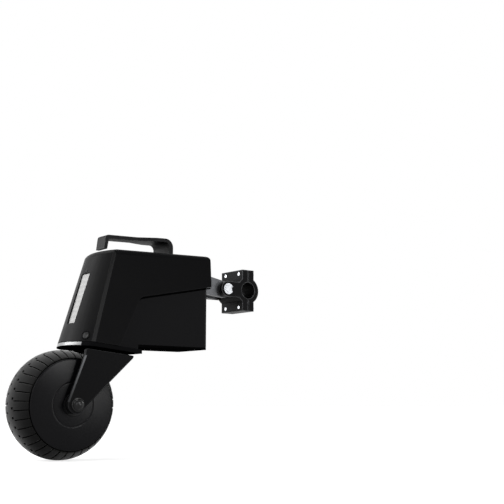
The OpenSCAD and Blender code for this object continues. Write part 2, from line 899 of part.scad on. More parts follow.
module heat_sink() {
    color(bare_metal) translate([-board_rear_back, -spine_half - fin_t, up(board_low_h)]) {
        cube([board_len, fin_t, board_w]);
        for (i = [0 : fin_count - 1])
            translate([i * (board_len - fin_t) / (fin_count - 1), -fin_h, 0])
                cube([fin_t, fin_h + over, board_w]);
    }
}

// Release lever: a flat strap with a pull lip, a wide foot and a toe that presses the latch's tail
strap_rise = 4;
strap_top_front = up(strap_h) + strap_rise;
strap_bend = 15;
lip_len = 24;
lip_lean = 3;
lip_round = 6;
lip_round_in = 3;
flare_round = 20;
foot_t = 8;
foot_front_back = lever_back - foot_t;
foot_rise = 12;
foot_low_h = lever_h + foot_rise;
flare_rear = 58;
flare_rear_back = lever_back + flare_rear;
flare_front = 24;
flare_front_back = lever_back + flare_front;
toe_len = 32;
toe_back = lever_back - toe_len;
toe_half = 8;
toe_t = 8;
knuckle_d = 15;
knuckle_half = spine_in - part_gap;
toe_drop = 7;

module strap_side() {
    rounded(
        [[-lip_back, up(strap_h) - lip_len], [-lip_back + strap_t, up(strap_h) - lip_len],
         [-lip_back + strap_t + lip_lean, up(strap_h) - strap_t],
         [-foot_front_back - foot_t, strap_top_front - strap_t],
         [-foot_front_back - foot_t, up(foot_low_h)], [-foot_front_back, up(foot_low_h)],
         [-foot_front_back, strap_top_front], [-lip_back + lip_lean, up(strap_h)]],
        [0, 0, lip_round_in, strap_bend - strap_t, 0, 0, strap_bend, lip_round]);
}

module strap_plan() {
    rounded(
        [[-lip_back - over, -strap_half], [-flare_rear_back, -strap_half], [-flare_front_back, -foot_half],
         [-foot_front_back + over, -foot_half], [-foot_front_back + over, foot_half],
         [-flare_front_back, foot_half], [-flare_rear_back, strap_half], [-lip_back - over, strap_half]],
        [0, flare_round, flare_round, 0, 0, flare_round, flare_round, 0]);
}

module release_lever() {
    color(grey_plastic) difference() {
        union() {
            intersection() {
                across(2 * foot_half) strap_side();
                translate([0, 0, -reach / 2]) linear_extrude(reach) strap_plan();
            }
            translate([-lever_back, 0, up(lever_h)]) bar_y(knuckle_d, 2 * knuckle_half);
            across(2 * knuckle_half) polygon(
                [[-lever_back, up(lever_h)], [-foot_front_back, up(lever_h)],
                 [-foot_front_back, up(foot_low_h) + over], [-lever_back, up(foot_low_h) + over]]);
            across(2 * toe_half) polygon(
                [[-lever_back, up(lever_h) - toe_t], [-toe_back, up(lever_h) - toe_drop - toe_t],
                 [-toe_back, up(lever_h) - toe_drop], [-lever_back, up(lever_h)]]);
        }
        translate([-lever_back, 0, up(lever_h)]) bar_y(lever_pin_d + 2 * run_clear, 4 * foot_half);
    }
}

module lever_pin() {
    color(steel) translate([-lever_back, 0, up(lever_h)]) bar_y(lever_pin_d, 2 * spine_half);
}

module latch_pin() {
    color(steel) translate([-latch_back, 0, up(latch_h)]) bar_y(latch_pin_d, 2 * spine_half);
}

// Latch hook: its beak closes the docking jaws in front of the shaft
hook_half = 5.5;
hook_eye_d = 16;
hook_arm_t = 8;
hook_clear = 0.4;
beak_t = 7;
beak_drop = 4;
tail_t = 6;
beak_round = 2;
beak_back_round = 6;

module latch_hook() {
    shaft_top = dock_d / 2 + hook_clear;
    beak_x = -dock_back + dock_d / 2 + hook_clear;
    tail_top = up(lever_h) - toe_drop - toe_t - hook_clear;
    color(black_metal) difference() {
        across(2 * hook_half) {
            translate([-latch_back, up(latch_h)]) circle(d = hook_eye_d);
            rounded(
                [[-latch_back, shaft_top - hook_clear], [beak_x, shaft_top], [beak_x, -beak_drop],
                 [beak_x + beak_t, -beak_drop], [beak_x + beak_t, shaft_top + hook_arm_t],
                 [-latch_back, up(latch_h) + hook_eye_d / 2]],
                [0, 0, beak_round, beak_round, beak_back_round, 0]);
            rounded(
                [[-toe_back - tail_t, tail_top - tail_t], [-latch_back, up(latch_h) - hook_eye_d / 3],
                 [-latch_back, up(latch_h) + hook_eye_d / 2], [-toe_back - tail_t, tail_top]],
                [beak_round, 0, 0, beak_round]);
        }
        translate([-latch_back, 0, up(latch_h)]) bar_y(latch_pin_d + 2 * run_clear, 4 * hook_half);
    }
}

// Fork, drawn in the leaning frame of the swivel
leg_tip_r = 14.5;
leg_tip_shift = 2;
leg_heel_drop = 11;
leg_bevel = 2.2;
leg_round = 3;
leg_in = fork_half - leg_t;
crown_rear = -22;
crown_t = 16;
wheel_room = 4;
tip_at = [axle_x - leg_tip_shift, axle_z];
leg_nose = [fork_nose, -fork_gap];
leg_heel = [-fork_heel, -fork_gap];
leg_heel_low = [-fork_heel, -fork_gap - leg_heel_drop];
axle_room = 0.1;

// Point where a line from p touches the tip's circle, on its left or right side
function touch(p, side) =
    let (d = tip_at - p, reach_d = norm(d), turn = asin(leg_tip_r / reach_d) * side,
         run = sqrt(reach_d * reach_d - leg_tip_r * leg_tip_r), a = atan2(d[1], d[0]) + turn)
    p + run * [cos(a), sin(a)];

module leg_outline() {
    rounded(
        [leg_heel, leg_heel_low, touch(leg_heel_low, -1), tip_at, touch(leg_nose, 1), leg_nose],
        [leg_round, 0, 0, 0, 0, leg_round]);
    translate(tip_at) circle(leg_tip_r);
}

// A long prism that takes the outer corner off an edge that runs from p to q
module edge_bevel(p, q) {
    d = q - p;
    translate([p[0], fork_half, p[1]]) rotate([0, -atan2(d[1], d[0]), 0]) rotate([45, 0, 0])
        translate([-over, -leg_bevel / sqrt(2), -leg_bevel / sqrt(2)])
            cube([norm(d) + 2 * over, leg_bevel * sqrt(2), leg_bevel * sqrt(2)]);
}

module fork_leg() {
    difference() {
        translate([0, leg_in + leg_t / 2, 0]) across(leg_t) leg_outline();
        edge_bevel(leg_heel_low, touch(leg_heel_low, -1));
        edge_bevel(touch(leg_nose, 1), leg_nose);
        translate([axle_x, 0, axle_z]) bar_y(axle_d + 2 * axle_room, 4 * fork_half);
    }
}

module fork_leg_left() {
    color(black_metal) at_swivel() fork_leg();
}

module fork_leg_right() {
    color(black_metal) at_swivel() mirror([0, 1, 0]) fork_leg();
}

module fork_crown() {
    color(black_metal) at_swivel() difference() {
        translate([crown_rear, -leg_in, -fork_gap - crown_t])
            cube([fork_nose - crown_rear - 2 * wall, 2 * leg_in, crown_t]);
        translate([axle_x, 0, axle_z]) bar_y(wheel_d + 2 * wheel_room, 2 * fork_half);
        translate([fork_nose - crown_t, -fork_half, -fork_gap - crown_t]) rotate([0, 45, 0])
            cube([2 * crown_t, 2 * fork_half, crown_t]);
        cylinder(d = stem_d + 2 * run_clear, h = 4 * crown_t, center = true);
    }
}

collar_d = 33;
stem_top = 71;
stem_bore_d = 9;
stem_foot = fork_gap + crown_t / 3;
module swivel_stem() {
    color(steel) at_swivel() difference() {
        union() {
            translate([0, 0, -stem_foot]) cylinder(d = stem_d, h = stem_top + stem_foot);
            translate([0, 0, -fork_gap]) cylinder(d = collar_d, h = fork_gap + base_t - part_gap);
        }
        translate([0, 0, -2 * crown_t]) cylinder(d = stem_bore_d, h = 2 * head_len);
    }
}

nut_t = 9;
nut_d = 32;
module stem_nut() {
    color(steel) at_swivel() translate([0, 0, upper_seat + bearing_t + part_gap]) difference() {
        cylinder(d = nut_d, h = nut_t, $fn = 6);
        translate([0, 0, -over]) cylinder(d = stem_d + 2 * run_clear, h = nut_t + 2 * over);
    }
}

// Axle, which the fork holds still, with the stator that it carries
nut_flange_d = 22;
nut_flange_t = 2;
dome_d = 19;
dome_len = 5.5;
axle_out = fork_half + nut_flange_t;

module wheel_axle() {
    color(steel) at_wheel() difference() {
        bar_y(axle_d, 2 * axle_out);
        bar_y(axle_d / 3, 4 * axle_out);
    }
}

module axle_nuts() {
    color(black_metal) at_wheel() both_sides() difference() {
        union() {
            bar_span(nut_flange_d, fork_half, fork_half + nut_flange_t);
            translate([0, fork_half + nut_flange_t, 0]) rotate([-90, 0, 0])
                rotate_extrude() intersection() {
                    translate([0, dome_len - dome_d]) circle(dome_d);
                    translate([0, -over]) square([dome_d / 2, dome_len + over]);
                }
        }
        bar_y(axle_d + 2 * run_clear, 2 * axle_out + over / 2);
    }
}

bearing_proud = 1;
bearing_out = wheel_half + bearing_proud;
hub_bearing_d = 35;
hub_bearing_t = 11;
spacer_wall = 3;
spacer_d = axle_d + 2 * spacer_wall;

module axle_spacers() {
    color(steel) at_wheel() both_sides() difference() {
        bar_span(spacer_d, bearing_out + part_gap, leg_in);
        bar_y(axle_d + 2 * run_clear, 4 * fork_half);
    }
}

magnet_t = 2.5;
air_gap = 0.6;
stator_half = 24;
stator_r = drum_d / 2 - drum_wall - magnet_t - air_gap;
tooth_w = 7;
tooth_head = 4;
yoke_r = 27;
winding_over = 5;
winding_half = stator_half + winding_over;
winding_gap = 0.4;
winding_foot = 3.5;

module stator_core() {
    color(steel) at_wheel() rotate([90, 0, 0]) linear_extrude(2 * stator_half, center = true) difference() {
        union() {
            circle(yoke_r);
            for (i = [0 : stator_teeth - 1]) rotate(i * 360 / stator_teeth)
                translate([0, -tooth_w / 2]) square([stator_r - tooth_head / 2, tooth_w]);
            difference() {
                circle(stator_r);
                circle(stator_r - tooth_head);
                for (i = [0 : stator_teeth - 1]) rotate((i + 1 / 2) * 360 / stator_teeth)
                    translate([0, -tooth_head / 4]) square([2 * stator_r, tooth_head / 2]);
            }
        }
        circle(axle_d / 2 + run_clear);
    }
}

module stator_windings() {
    color(copper) at_wheel() rotate([90, 0, 0])
        for (i = [0 : stator_teeth - 1]) rotate(i * 360 / stator_teeth) difference() {
            translate([yoke_r + winding_foot, -tooth_w / 2 - tooth_head / 3, -winding_half])
                cube([stator_r - tooth_head - yoke_r - winding_foot - winding_gap,
                      tooth_w + 2 * tooth_head / 3, 2 * winding_half]);
            translate([0, -tooth_w / 2 - winding_gap / 4, -stator_half - winding_gap / 4])
                cube([stator_r, tooth_w + winding_gap / 2, 2 * stator_half + winding_gap / 2]);
        }
}

// Wheel: tyre on the motor drum, closed by two domed covers
drum_step = 3;
drum_half = tread_half - drum_step;
shoulder_gap = 2.2;
groove_depth = 3;
groove_inner = 13;
crown_edge_r = wheel_r - crown_r + sqrt(pow(crown_r, 2) - pow(tread_half, 2));
dome_edge_r = crown_edge_r - shoulder_gap;
dome_edge_t = 1.6;
dome_drop = wheel_half - tread_half - dome_edge_t;
dome_r = (pow(dome_edge_r, 2) + pow(dome_drop, 2)) / (2 * dome_drop);

module crown_disc(r) {
    intersection() {
        translate([wheel_r - crown_r, 0]) circle(crown_r, $fn = 128);
        translate([0, -tread_half]) square([r, 2 * tread_half]);
    }
}

module tyre_profile() {
    difference() {
        crown_disc(wheel_r + over);
        translate([0, -reach / 2]) square([drum_d / 2, reach]);
    }
}

module tread_cutter() {
    rise = (wheel_r - crown_edge_r) / (tread_half - groove_inner);
    translate([crown_edge_r - groove_depth, 0, tread_half + over])
        rotate([0, -atan(rise), 0])
            translate([0, -groove_w / 2, -tread_half + groove_inner - over])
                cube([4 * groove_depth, groove_w, tread_half - groove_inner + 2 * over]);
}

module tyre() {
    color(rubber) at_wheel() rotate([90, 0, 0]) difference() {
        rotate_extrude($fn = 128) tyre_profile();
        for (i = [0 : tread_grooves - 1]) rotate([0, 0, i * 360 / tread_grooves]) tread_cutter();
        mirror([0, 0, 1]) for (i = [0 : tread_grooves - 1])
            rotate([0, 0, (i + 1 / 2) * 360 / tread_grooves]) tread_cutter();
    }
}

module rotor_drum() {
    color(black_metal) at_wheel() difference() {
        bar_y(drum_d - 2 * run_clear, 2 * drum_half);
        bar_y(drum_d - 2 * drum_wall, 2 * drum_half + 2 * over);
    }
}

module rotor_magnets() {
    arc = 360 / magnet_count;
    outer = drum_d / 2 - drum_wall - run_clear;
    color(steel) at_wheel() rotate([90, 0, 0]) linear_extrude(2 * stator_half, center = true) difference() {
        circle(outer);
        circle(outer - magnet_t + run_clear);
        for (i = [0 : magnet_count - 1]) rotate(i * arc)
            translate([0, -magnet_t / 4]) square([drum_d, magnet_t / 2]);
    }
}

cover_ring_r = 38;
cover_ring_w = 1.2;
cover_ring_depth = 0.6;
cover_screw_r = 54;
cover_screw_d = 4;
cover_screw_count = 8;
cover_screw_head_d = 7;
cover_screw_head_t = 1.6;
boss_wall = 5;
// Height of the dome's face above the middle plane, at a radius
function dome_face(r) = wheel_half - dome_r + sqrt(pow(dome_r, 2) - pow(r, 2));
ring_floor = dome_face(cover_ring_r) - cover_ring_depth;
boss_d = hub_bearing_d + 2 * boss_wall;
cover_screw_seat = dome_face(cover_screw_r) - cover_screw_head_t;

module cover_screw_places() {
    for (i = [0 : cover_screw_count - 1]) rotate([0, 360 * (i + 1 / 2) / cover_screw_count, 0])
        translate([cover_screw_r, 0, 0]) children();
}

module side_cover() {
    difference() {
        union() {
            bar_span(drum_d - 2 * part_gap, drum_half, tread_half + over);
            rotate([-90, 0, 0]) rotate_extrude($fn = 128) intersection() {
                translate([0, wheel_half - dome_r]) circle(dome_r, $fn = 512);
                translate([0, tread_half]) square([dome_edge_r, wheel_half]);
            }
            bar_span(boss_d, bearing_out - hub_bearing_t - wall, wheel_half - dome_drop / 2);
        }
        bar_span(hub_bearing_d + 2 * run_clear, bearing_out - hub_bearing_t, fork_half);
        bar_y(hub_bearing_d - 2 * wall, 4 * fork_half);
        rotate([-90, 0, 0]) translate([0, 0, ring_floor]) difference() {
            cylinder(r = cover_ring_r, h = wheel_half);
            translate([0, 0, -over]) cylinder(r = cover_ring_r - cover_ring_w, h = 2 * wheel_half);
        }
    }
}

// Only the left cover is screwed on: it is the one that opens
module side_cover_left() {
    color(black_metal) at_wheel() difference() {
        side_cover();
        cover_screw_places() {
            bar_span(cover_screw_d + 2 * screw_clear, drum_half - over, fork_half);
            bar_span(cover_screw_head_d + 2 * screw_clear, cover_screw_seat, fork_half);
        }
    }
}

module side_cover_right() {
    color(black_metal) at_wheel() mirror([0, 1, 0]) side_cover();
}

module hub_bearings() {
    color(steel) at_wheel() both_sides() translate([0, bearing_out, 0]) rotate([90, 0, 0])
        bearing_ring(axle_d + 2 * run_clear, hub_bearing_d, hub_bearing_t);
}

module cover_screws() {
    color(black_metal) at_wheel() cover_screw_places() {
        bar_span(cover_screw_head_d, cover_screw_seat, cover_screw_seat + cover_screw_head_t);
        bar_span(cover_screw_d, drum_half, cover_screw_seat + over);
    }
}

clamp_rear_half();
clamp_front_cap();
clamp_screws();
docking_shaft();
shaft_clips();
chassis();
base_plate();
lower_trim();
outer_shell();
battery_case();
case_floor();
battery_cells();
cell_holders();
bms_board();
controller_board();
heat_sink();
lower_bearing();
upper_bearing();
slip_ring();
status_lens();
led_board();
button_bezel();
base_screws();
lever_pin();
latch_pin();
fork_crown();
fork_leg_left();
fork_leg_right();
swivel_stem();
stem_nut();
wheel_axle();
axle_nuts();
axle_spacers();
stator_core();
stator_windings();
tyre();
rotor_drum();
rotor_magnets();
side_cover_left();
side_cover_right();
hub_bearings();
cover_screws();
release_lever();
latch_hook();
power_button();
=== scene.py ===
"""Looks of a rear add-on drive unit for a wheelchair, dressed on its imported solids."""

import json
import math

import bmesh
import bpy
from bpy.props import FloatProperty, FloatVectorProperty, IntProperty, PointerProperty
from bpy.types import Operator, Panel, PropertyGroup
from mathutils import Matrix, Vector

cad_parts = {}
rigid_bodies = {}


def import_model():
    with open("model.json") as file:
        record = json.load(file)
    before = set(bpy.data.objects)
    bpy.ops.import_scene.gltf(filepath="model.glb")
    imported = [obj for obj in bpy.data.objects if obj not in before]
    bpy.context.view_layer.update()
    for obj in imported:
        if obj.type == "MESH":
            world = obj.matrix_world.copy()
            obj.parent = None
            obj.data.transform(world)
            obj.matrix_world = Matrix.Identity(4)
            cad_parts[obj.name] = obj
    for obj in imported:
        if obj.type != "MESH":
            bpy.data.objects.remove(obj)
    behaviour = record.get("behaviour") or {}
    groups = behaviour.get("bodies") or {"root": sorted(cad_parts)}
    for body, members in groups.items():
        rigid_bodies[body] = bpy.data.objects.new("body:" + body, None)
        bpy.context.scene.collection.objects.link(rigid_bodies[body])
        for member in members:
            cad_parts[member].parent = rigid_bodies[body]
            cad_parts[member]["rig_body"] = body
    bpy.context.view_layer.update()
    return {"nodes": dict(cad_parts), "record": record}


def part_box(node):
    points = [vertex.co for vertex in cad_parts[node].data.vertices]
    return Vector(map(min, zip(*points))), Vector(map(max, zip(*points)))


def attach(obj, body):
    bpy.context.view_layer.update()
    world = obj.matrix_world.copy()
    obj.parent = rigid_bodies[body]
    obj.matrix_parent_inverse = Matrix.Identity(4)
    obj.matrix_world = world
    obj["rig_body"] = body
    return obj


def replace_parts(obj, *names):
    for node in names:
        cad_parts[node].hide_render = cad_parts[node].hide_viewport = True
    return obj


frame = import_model()
MM = 0.001

bl_info = {
    "name": "Chair drive unit",
    "version": (1, 0, 0),
    "blender": (4, 5, 0),
    "location": "View3D > Sidebar > Drive unit",
    "description": "Dresses the solids of a chair's rear drive unit with finished surfaces",
    "category": "Object",
}

# The wheel's middle and radius and the floor under it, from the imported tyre
TYRE_LOW, TYRE_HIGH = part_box("tyre")
AXLE = (TYRE_LOW + TYRE_HIGH) / 2
WHEEL_R = (TYRE_HIGH.z - TYRE_LOW.z) / 2
FLOOR_Z = TYRE_LOW.z

# Where the fork's swivel axis leaves the base plate, and its direction
SWIVEL = next(joint for joint in frame["record"]["behaviour"]["joints"] if joint["name"] == "fork_swivel")
SWIVEL_FOOT = Vector(SWIVEL["pos_m"])
SWIVEL_LEAN = math.atan2(SWIVEL["axis"][0], SWIVEL["axis"][2])
SWIVEL_UP = Vector((math.sin(SWIVEL_LEAN), 0, math.cos(SWIVEL_LEAN)))

# Lean of the shell's rear face, the way that it looks, and the middle of its lower edge
REAR_LEAN = math.radians(17)
REAR_OUT = Vector((-math.cos(REAR_LEAN), 0, math.sin(REAR_LEAN)))
REAR_FOOT = Vector((-353.5 * MM, 0, -108.937 * MM))


# Settings


def linear(text):
    """An sRGB hex colour as the linear colour that a shader takes."""
    parts = [int(text[i:i + 2], 16) / 255 for i in (1, 3, 5)]
    return [c / 12.92 if c <= 0.04045 else ((c + 0.055) / 1.055) ** 2.4 for c in parts] + [1.0]


def colour(name, description, text):
    """A colour that a user can change, with its hex value as the default."""
    return FloatVectorProperty(name=name, description=description, subtype="COLOR", size=4,
                               min=0.0, max=1.0, default=linear(text))


def length(name, description, size):
    """A size that a user can change, given in metres."""
    return FloatProperty(name=name, description=description, default=size, min=0.0, unit="LENGTH")


class DriveFinish(PropertyGroup):
    """Colours of the finishes."""
    shell: colour("Shell", "Black ABS of the outer shell", "#09090a")
    case: colour("Battery case", "Charcoal nylon of the battery case", "#131314")
    lever: colour("Lever", "Dark grey nylon of the release lever", "#161617")
    trim: colour("Trim", "Silver lacquer of the trim band", "#7e7f80")
    lens: colour("Lens", "Frosted cover of the status strip", "#888887")
    coat: colour("Fork coat", "Powder coat of the fork and the clamp", "#101011")
    tread: colour("Tyre", "Rubber of the tyre", "#1a1a1a")
    cover: colour("Wheel cover", "Painted domes on the wheel", "#08080a")


class DriveEdges(PropertyGroup):
    """Sizes of the edges and of the tread."""
    shell_edge: length("Shell edge", "Radius on the shell's moulded edges", 1.0 * MM)
    metal_edge: length("Metal edge", "Radius on the edges of metal pieces", 0.5 * MM)
    groove_depth: length("Groove depth", "Depth of the tread's grooves", 3.0 * MM)
    tread_pitches: IntProperty(name="Tread pitches", description="Grooves round each side of the tread",
                               default=36, min=12, max=60)


# Materials


# An edge that is rubbed: its width, how far round it the rubbing begins and is full, and the patches in it
WEAR_WIDTH = 1.6 * MM
WEAR_FROM, WEAR_FULL, WEAR_GAIN = 0.93, 0.5, 1.6
WEAR_PATCH_MM = 5

# A painted highlight in the edge colour, on faces that look towards the light: how squarely a face looks
# along the given direction, and the heights over the axle between which the highlight grows from its least
# share to all of it
BARE_FROM, BARE_FULL = 0.9, 0.97
BARE_LOW, BARE_HIGH, BARE_LEAST = 10 * MM, 78 * MM, 0.22

# The way that the rear bevel of the left fork leg looks, which gets a painted highlight as it faces the light
LEG_BEVEL = Vector((-0.66, 0.7, 0.25))

# The lamps behind the light strip: the way that their row runs, their spacing, and the dip of light between
LAMP_ROW = Vector((math.tan(REAR_LEAN), 0, 1))
LAMP_PITCH_MM, LAMP_DIP = 8.8, 0.22

# Depth of the fine grain, and the roughness of clear coats and of dust
GRAIN_DEPTH = 0.2 * MM
COAT_ROUGH = 0.12
DUST_ROUGH = 0.4


def add(tree, kind, inputs=None, **settings):
    """Adds one node with its settings. An input is a value or the socket that feeds it."""
    made = tree.nodes.new(kind)
    for key, value in settings.items():
        setattr(made, key, value)
    for key, value in (inputs or {}).items():
        if isinstance(value, bpy.types.NodeSocket):
            tree.links.new(value, made.inputs[key])
        else:
            made.inputs[key].default_value = value
    return made


def per_mm(size):
    """Scale of a pattern whose features are that many millimetres wide."""
    return 1 / (size * MM)


def shade(base, factor):
    """A linear colour made darker or lighter by a factor."""
    return [c * factor for c in list(base)[:3]] + [1.0]


def surface(name, base, rough, spread=0.06, mottle_mm=45, mottle=0.12, grain_mm=1.2, grain=0.05,
            metallic=0.0, level=0.5, wear=None, worn=1.0, rubbed=None, coat=0.0, sheen=0.0, bands=None):
    """A finish with a slow drift of tone, a fine grain and, where wear is given, worn edges.

    The grain of a real mould or coat is a few hundredths of a millimetre: it is drawn coarser, so it shows.
    wear is the colour of a worn edge, and also of the painted highlight below, and worn is how far the edges
    are worn.
    rubbed names the direction of the faces that get that painted highlight, as a normal in the piece's own
    frame: it lightens the faces that look towards the light, more strongly higher over the axle.
    bands is a direction, a spacing in millimetres and a depth: soft stripes across that direction.
    """
    mat = bpy.data.materials.new(name)
    mat.use_nodes = True
    tree = mat.node_tree
    tree.nodes.clear()
    place = add(tree, "ShaderNodeTexCoord").outputs["Object"]
    drift = add(tree, "ShaderNodeTexNoise", {"Vector": place, "Scale": per_mm(mottle_mm), "Detail": 4.0})
    fine = add(tree, "ShaderNodeTexNoise", {"Vector": place, "Scale": per_mm(grain_mm), "Detail": 3.0})
    tone = add(tree, "ShaderNodeMix", {
        "Factor": drift.outputs["Fac"], "A": shade(base, 1 - mottle), "B": shade(base, 1 + mottle),
    }, data_type="RGBA")
    paint = tone.outputs["Result"]
    if bands is not None:
        way, pitch_mm, depth = bands
        turns = way.normalized() * per_mm(pitch_mm) * 2 * math.pi
        along = add(tree, "ShaderNodeVectorMath", {0: place, 1: turns}, operation="DOT_PRODUCT")
        wave = add(tree, "ShaderNodeMath", {0: along.outputs["Value"]}, operation="SINE")
        share = add(tree, "ShaderNodeMapRange", {"Value": wave.outputs["Value"], "From Min": -1.0})
        paint = add(tree, "ShaderNodeMix", {
            "Factor": share.outputs["Result"], "A": shade(base, 1 - depth), "B": paint,
        }, data_type="RGBA").outputs["Result"]
    if wear is not None:
        near = add(tree, "ShaderNodeAmbientOcclusion", {"Distance": WEAR_WIDTH}, inside=True,
                   only_local=True)
        edge = add(tree, "ShaderNodeMapRange", {
            "Value": near.outputs["AO"], "From Min": WEAR_FROM, "From Max": WEAR_FULL,
            "To Max": WEAR_GAIN * worn})
        ragged = add(tree, "ShaderNodeTexNoise", {
            "Vector": place, "Scale": per_mm(WEAR_PATCH_MM), "Detail": 3.0})
        broken = add(tree, "ShaderNodeMath", {0: edge.outputs["Result"], 1: ragged.outputs["Fac"]},
                     operation="MULTIPLY")
        paint = add(tree, "ShaderNodeMix", {"Factor": broken.outputs["Value"], "A": paint, "B": wear},
                    data_type="RGBA").outputs["Result"]
    # A painted highlight: faces that look along the given direction, towards the light, take the edge colour,
    # more of it higher over the axle
    if rubbed is not None:
        facing = add(tree, "ShaderNodeVectorMath", {
            0: add(tree, "ShaderNodeTexCoord").outputs["Normal"], 1: rubbed.normalized(),
        }, operation="DOT_PRODUCT")
        bare = add(tree, "ShaderNodeMapRange", {
            "Value": facing.outputs["Value"], "From Min": BARE_FROM, "From Max": BARE_FULL})
        height = add(tree, "ShaderNodeSeparateXYZ", {"Vector": place}).outputs["Z"]
        fade = add(tree, "ShaderNodeMapRange", {
            "Value": height, "From Min": AXLE.z + BARE_LOW, "From Max": AXLE.z + BARE_HIGH,
            "To Min": BARE_LEAST})
        share = add(tree, "ShaderNodeMath", {0: bare.outputs["Result"], 1: fade.outputs["Result"]},
                    operation="MULTIPLY")
        paint = add(tree, "ShaderNodeMix", {"Factor": share.outputs["Value"], "A": paint, "B": wear},
                    data_type="RGBA").outputs["Result"]
    gloss = add(tree, "ShaderNodeMapRange", {
        "Value": drift.outputs["Fac"], "To Min": rough - spread, "To Max": rough + spread})
    relief = add(tree, "ShaderNodeBump", {
        "Height": fine.outputs["Fac"], "Strength": grain, "Distance": GRAIN_DEPTH})
    shader = add(tree, "ShaderNodeBsdfPrincipled", {
        "Base Color": paint, "Roughness": gloss.outputs["Result"], "Metallic": metallic,
        "Specular IOR Level": level, "Normal": relief.outputs["Normal"], "Coat Weight": coat,
        "Coat Roughness": COAT_ROUGH, "Sheen Weight": sheen, "Sheen Roughness": DUST_ROUGH})
    add(tree, "ShaderNodeOutputMaterial", {"Surface": shader.outputs["BSDF"]})
    return mat


def finishes():
    """All the finishes of the unit, by the record's slot."""
    tint = bpy.context.scene.drive_finish
    return {
        # Black ABS from a spark-eroded mould: deep even matte, greyer only where it is seen aslant
        "shell_plastic": surface("moulded ABS, black", tint.shell, 0.42, level=0.02, grain_mm=0.9,
                                 grain=0.12, wear=linear("#1a1a1b")),
        # Charcoal glass-filled nylon: duller and a little greyer than the shell
        "case_plastic": surface("moulded nylon, charcoal", tint.case, 0.6, level=0.03, grain_mm=1.1,
                                grain=0.2),
        # Silver lacquer on plastic: satin, bright against the black
        "trim": surface("lacquered ABS, silver", tint.trim, 0.3, mottle=0.05, mottle_mm=12, grain=0.02),
        # Frosted polycarbonate over a row of lamps: pale, cloudy, with a soft stripe between the lamps
        "lens": surface("frosted polycarbonate", tint.lens, 0.4, mottle=0.12, mottle_mm=7, grain=0.05,
                        bands=(LAMP_ROW, LAMP_PITCH_MM, LAMP_DIP)),
        # Fibre nylon of the lever: dark grey, dull, rubbed lighter on its edges
        "lever_plastic": surface("moulded nylon, dark grey", tint.lever, 0.5, level=0.06, grain_mm=1.3,
                                 grain=0.25, wear=linear("#2c2c2d")),
        # Powder coat on steel: slight orange peel, rubbed to bright metal along the edges
        "coated_metal": surface("powder-coated steel, black", tint.coat, 0.4, level=0.03, grain_mm=2.2,
                                grain=0.1, wear=linear("#6d6e70")),
        # Zinc-plated steel: pale grey, with a fine grain
        "steel": surface("zinc-plated steel", linear("#9b9da0"), 0.32, metallic=1.0, grain_mm=0.9),
        # Sand-cast aluminium, dark anodised: deep grey with a coarse skin
        "cast_aluminium": surface("cast aluminium, dark anodised", linear("#4b4c4e"), 0.5, metallic=1.0,
                                  grain_mm=1.6, grain=0.3),
        # Solder mask on glass laminate: deep green, half gloss
        "circuit_board": surface("glass laminate, green", linear("#1d4a2f"), 0.38),
        # Shrink sleeve of the cells: smooth blue film
        "cell_wrap": surface("shrink film, blue", linear("#34507c"), 0.3, grain=0.02),
        # Enamelled copper wire: warm metal under a clear coat
        "copper_wire": surface("enamelled copper", linear("#b0642f"), 0.3, metallic=1.0, coat=0.4),
        # Tyre rubber: dull black, with a film of dust that greys it where it is seen aslant
        "tyre_rubber": surface("tyre rubber", tint.tread, 0.55, level=0.0, sheen=0.5, spread=0.08,
                               grain_mm=1.6, grain=0.3, wear=linear("#262625")),
        # Silicone key: soft black with a slight shine
        "button_rubber": surface("silicone, black", linear("#101011"), 0.26, level=0.13, grain=0.0),
        # Black lacquer on the domed nuts: deep black with one soft highlight
        "dark_nut": surface("lacquered steel, black", linear("#050506"), 0.25, level=0.17, spread=0.02,
                            grain=0.0),
    }


def leg_finish(side, sign):
    """A fork leg's powder coat, lightly worn on its edges, with a painted highlight in bare-metal grey on the
    bevel that faces the rear on that side.
    """
    coat = bpy.context.scene.drive_finish.coat
    return surface(f"powder-coated steel, rubbed {side} edge", coat, 0.4, level=0.02, grain_mm=2.2, grain=0.1,
                   wear=linear("#707173"), worn=0.15, rubbed=LEG_BEVEL * Vector((1, sign, 1)))


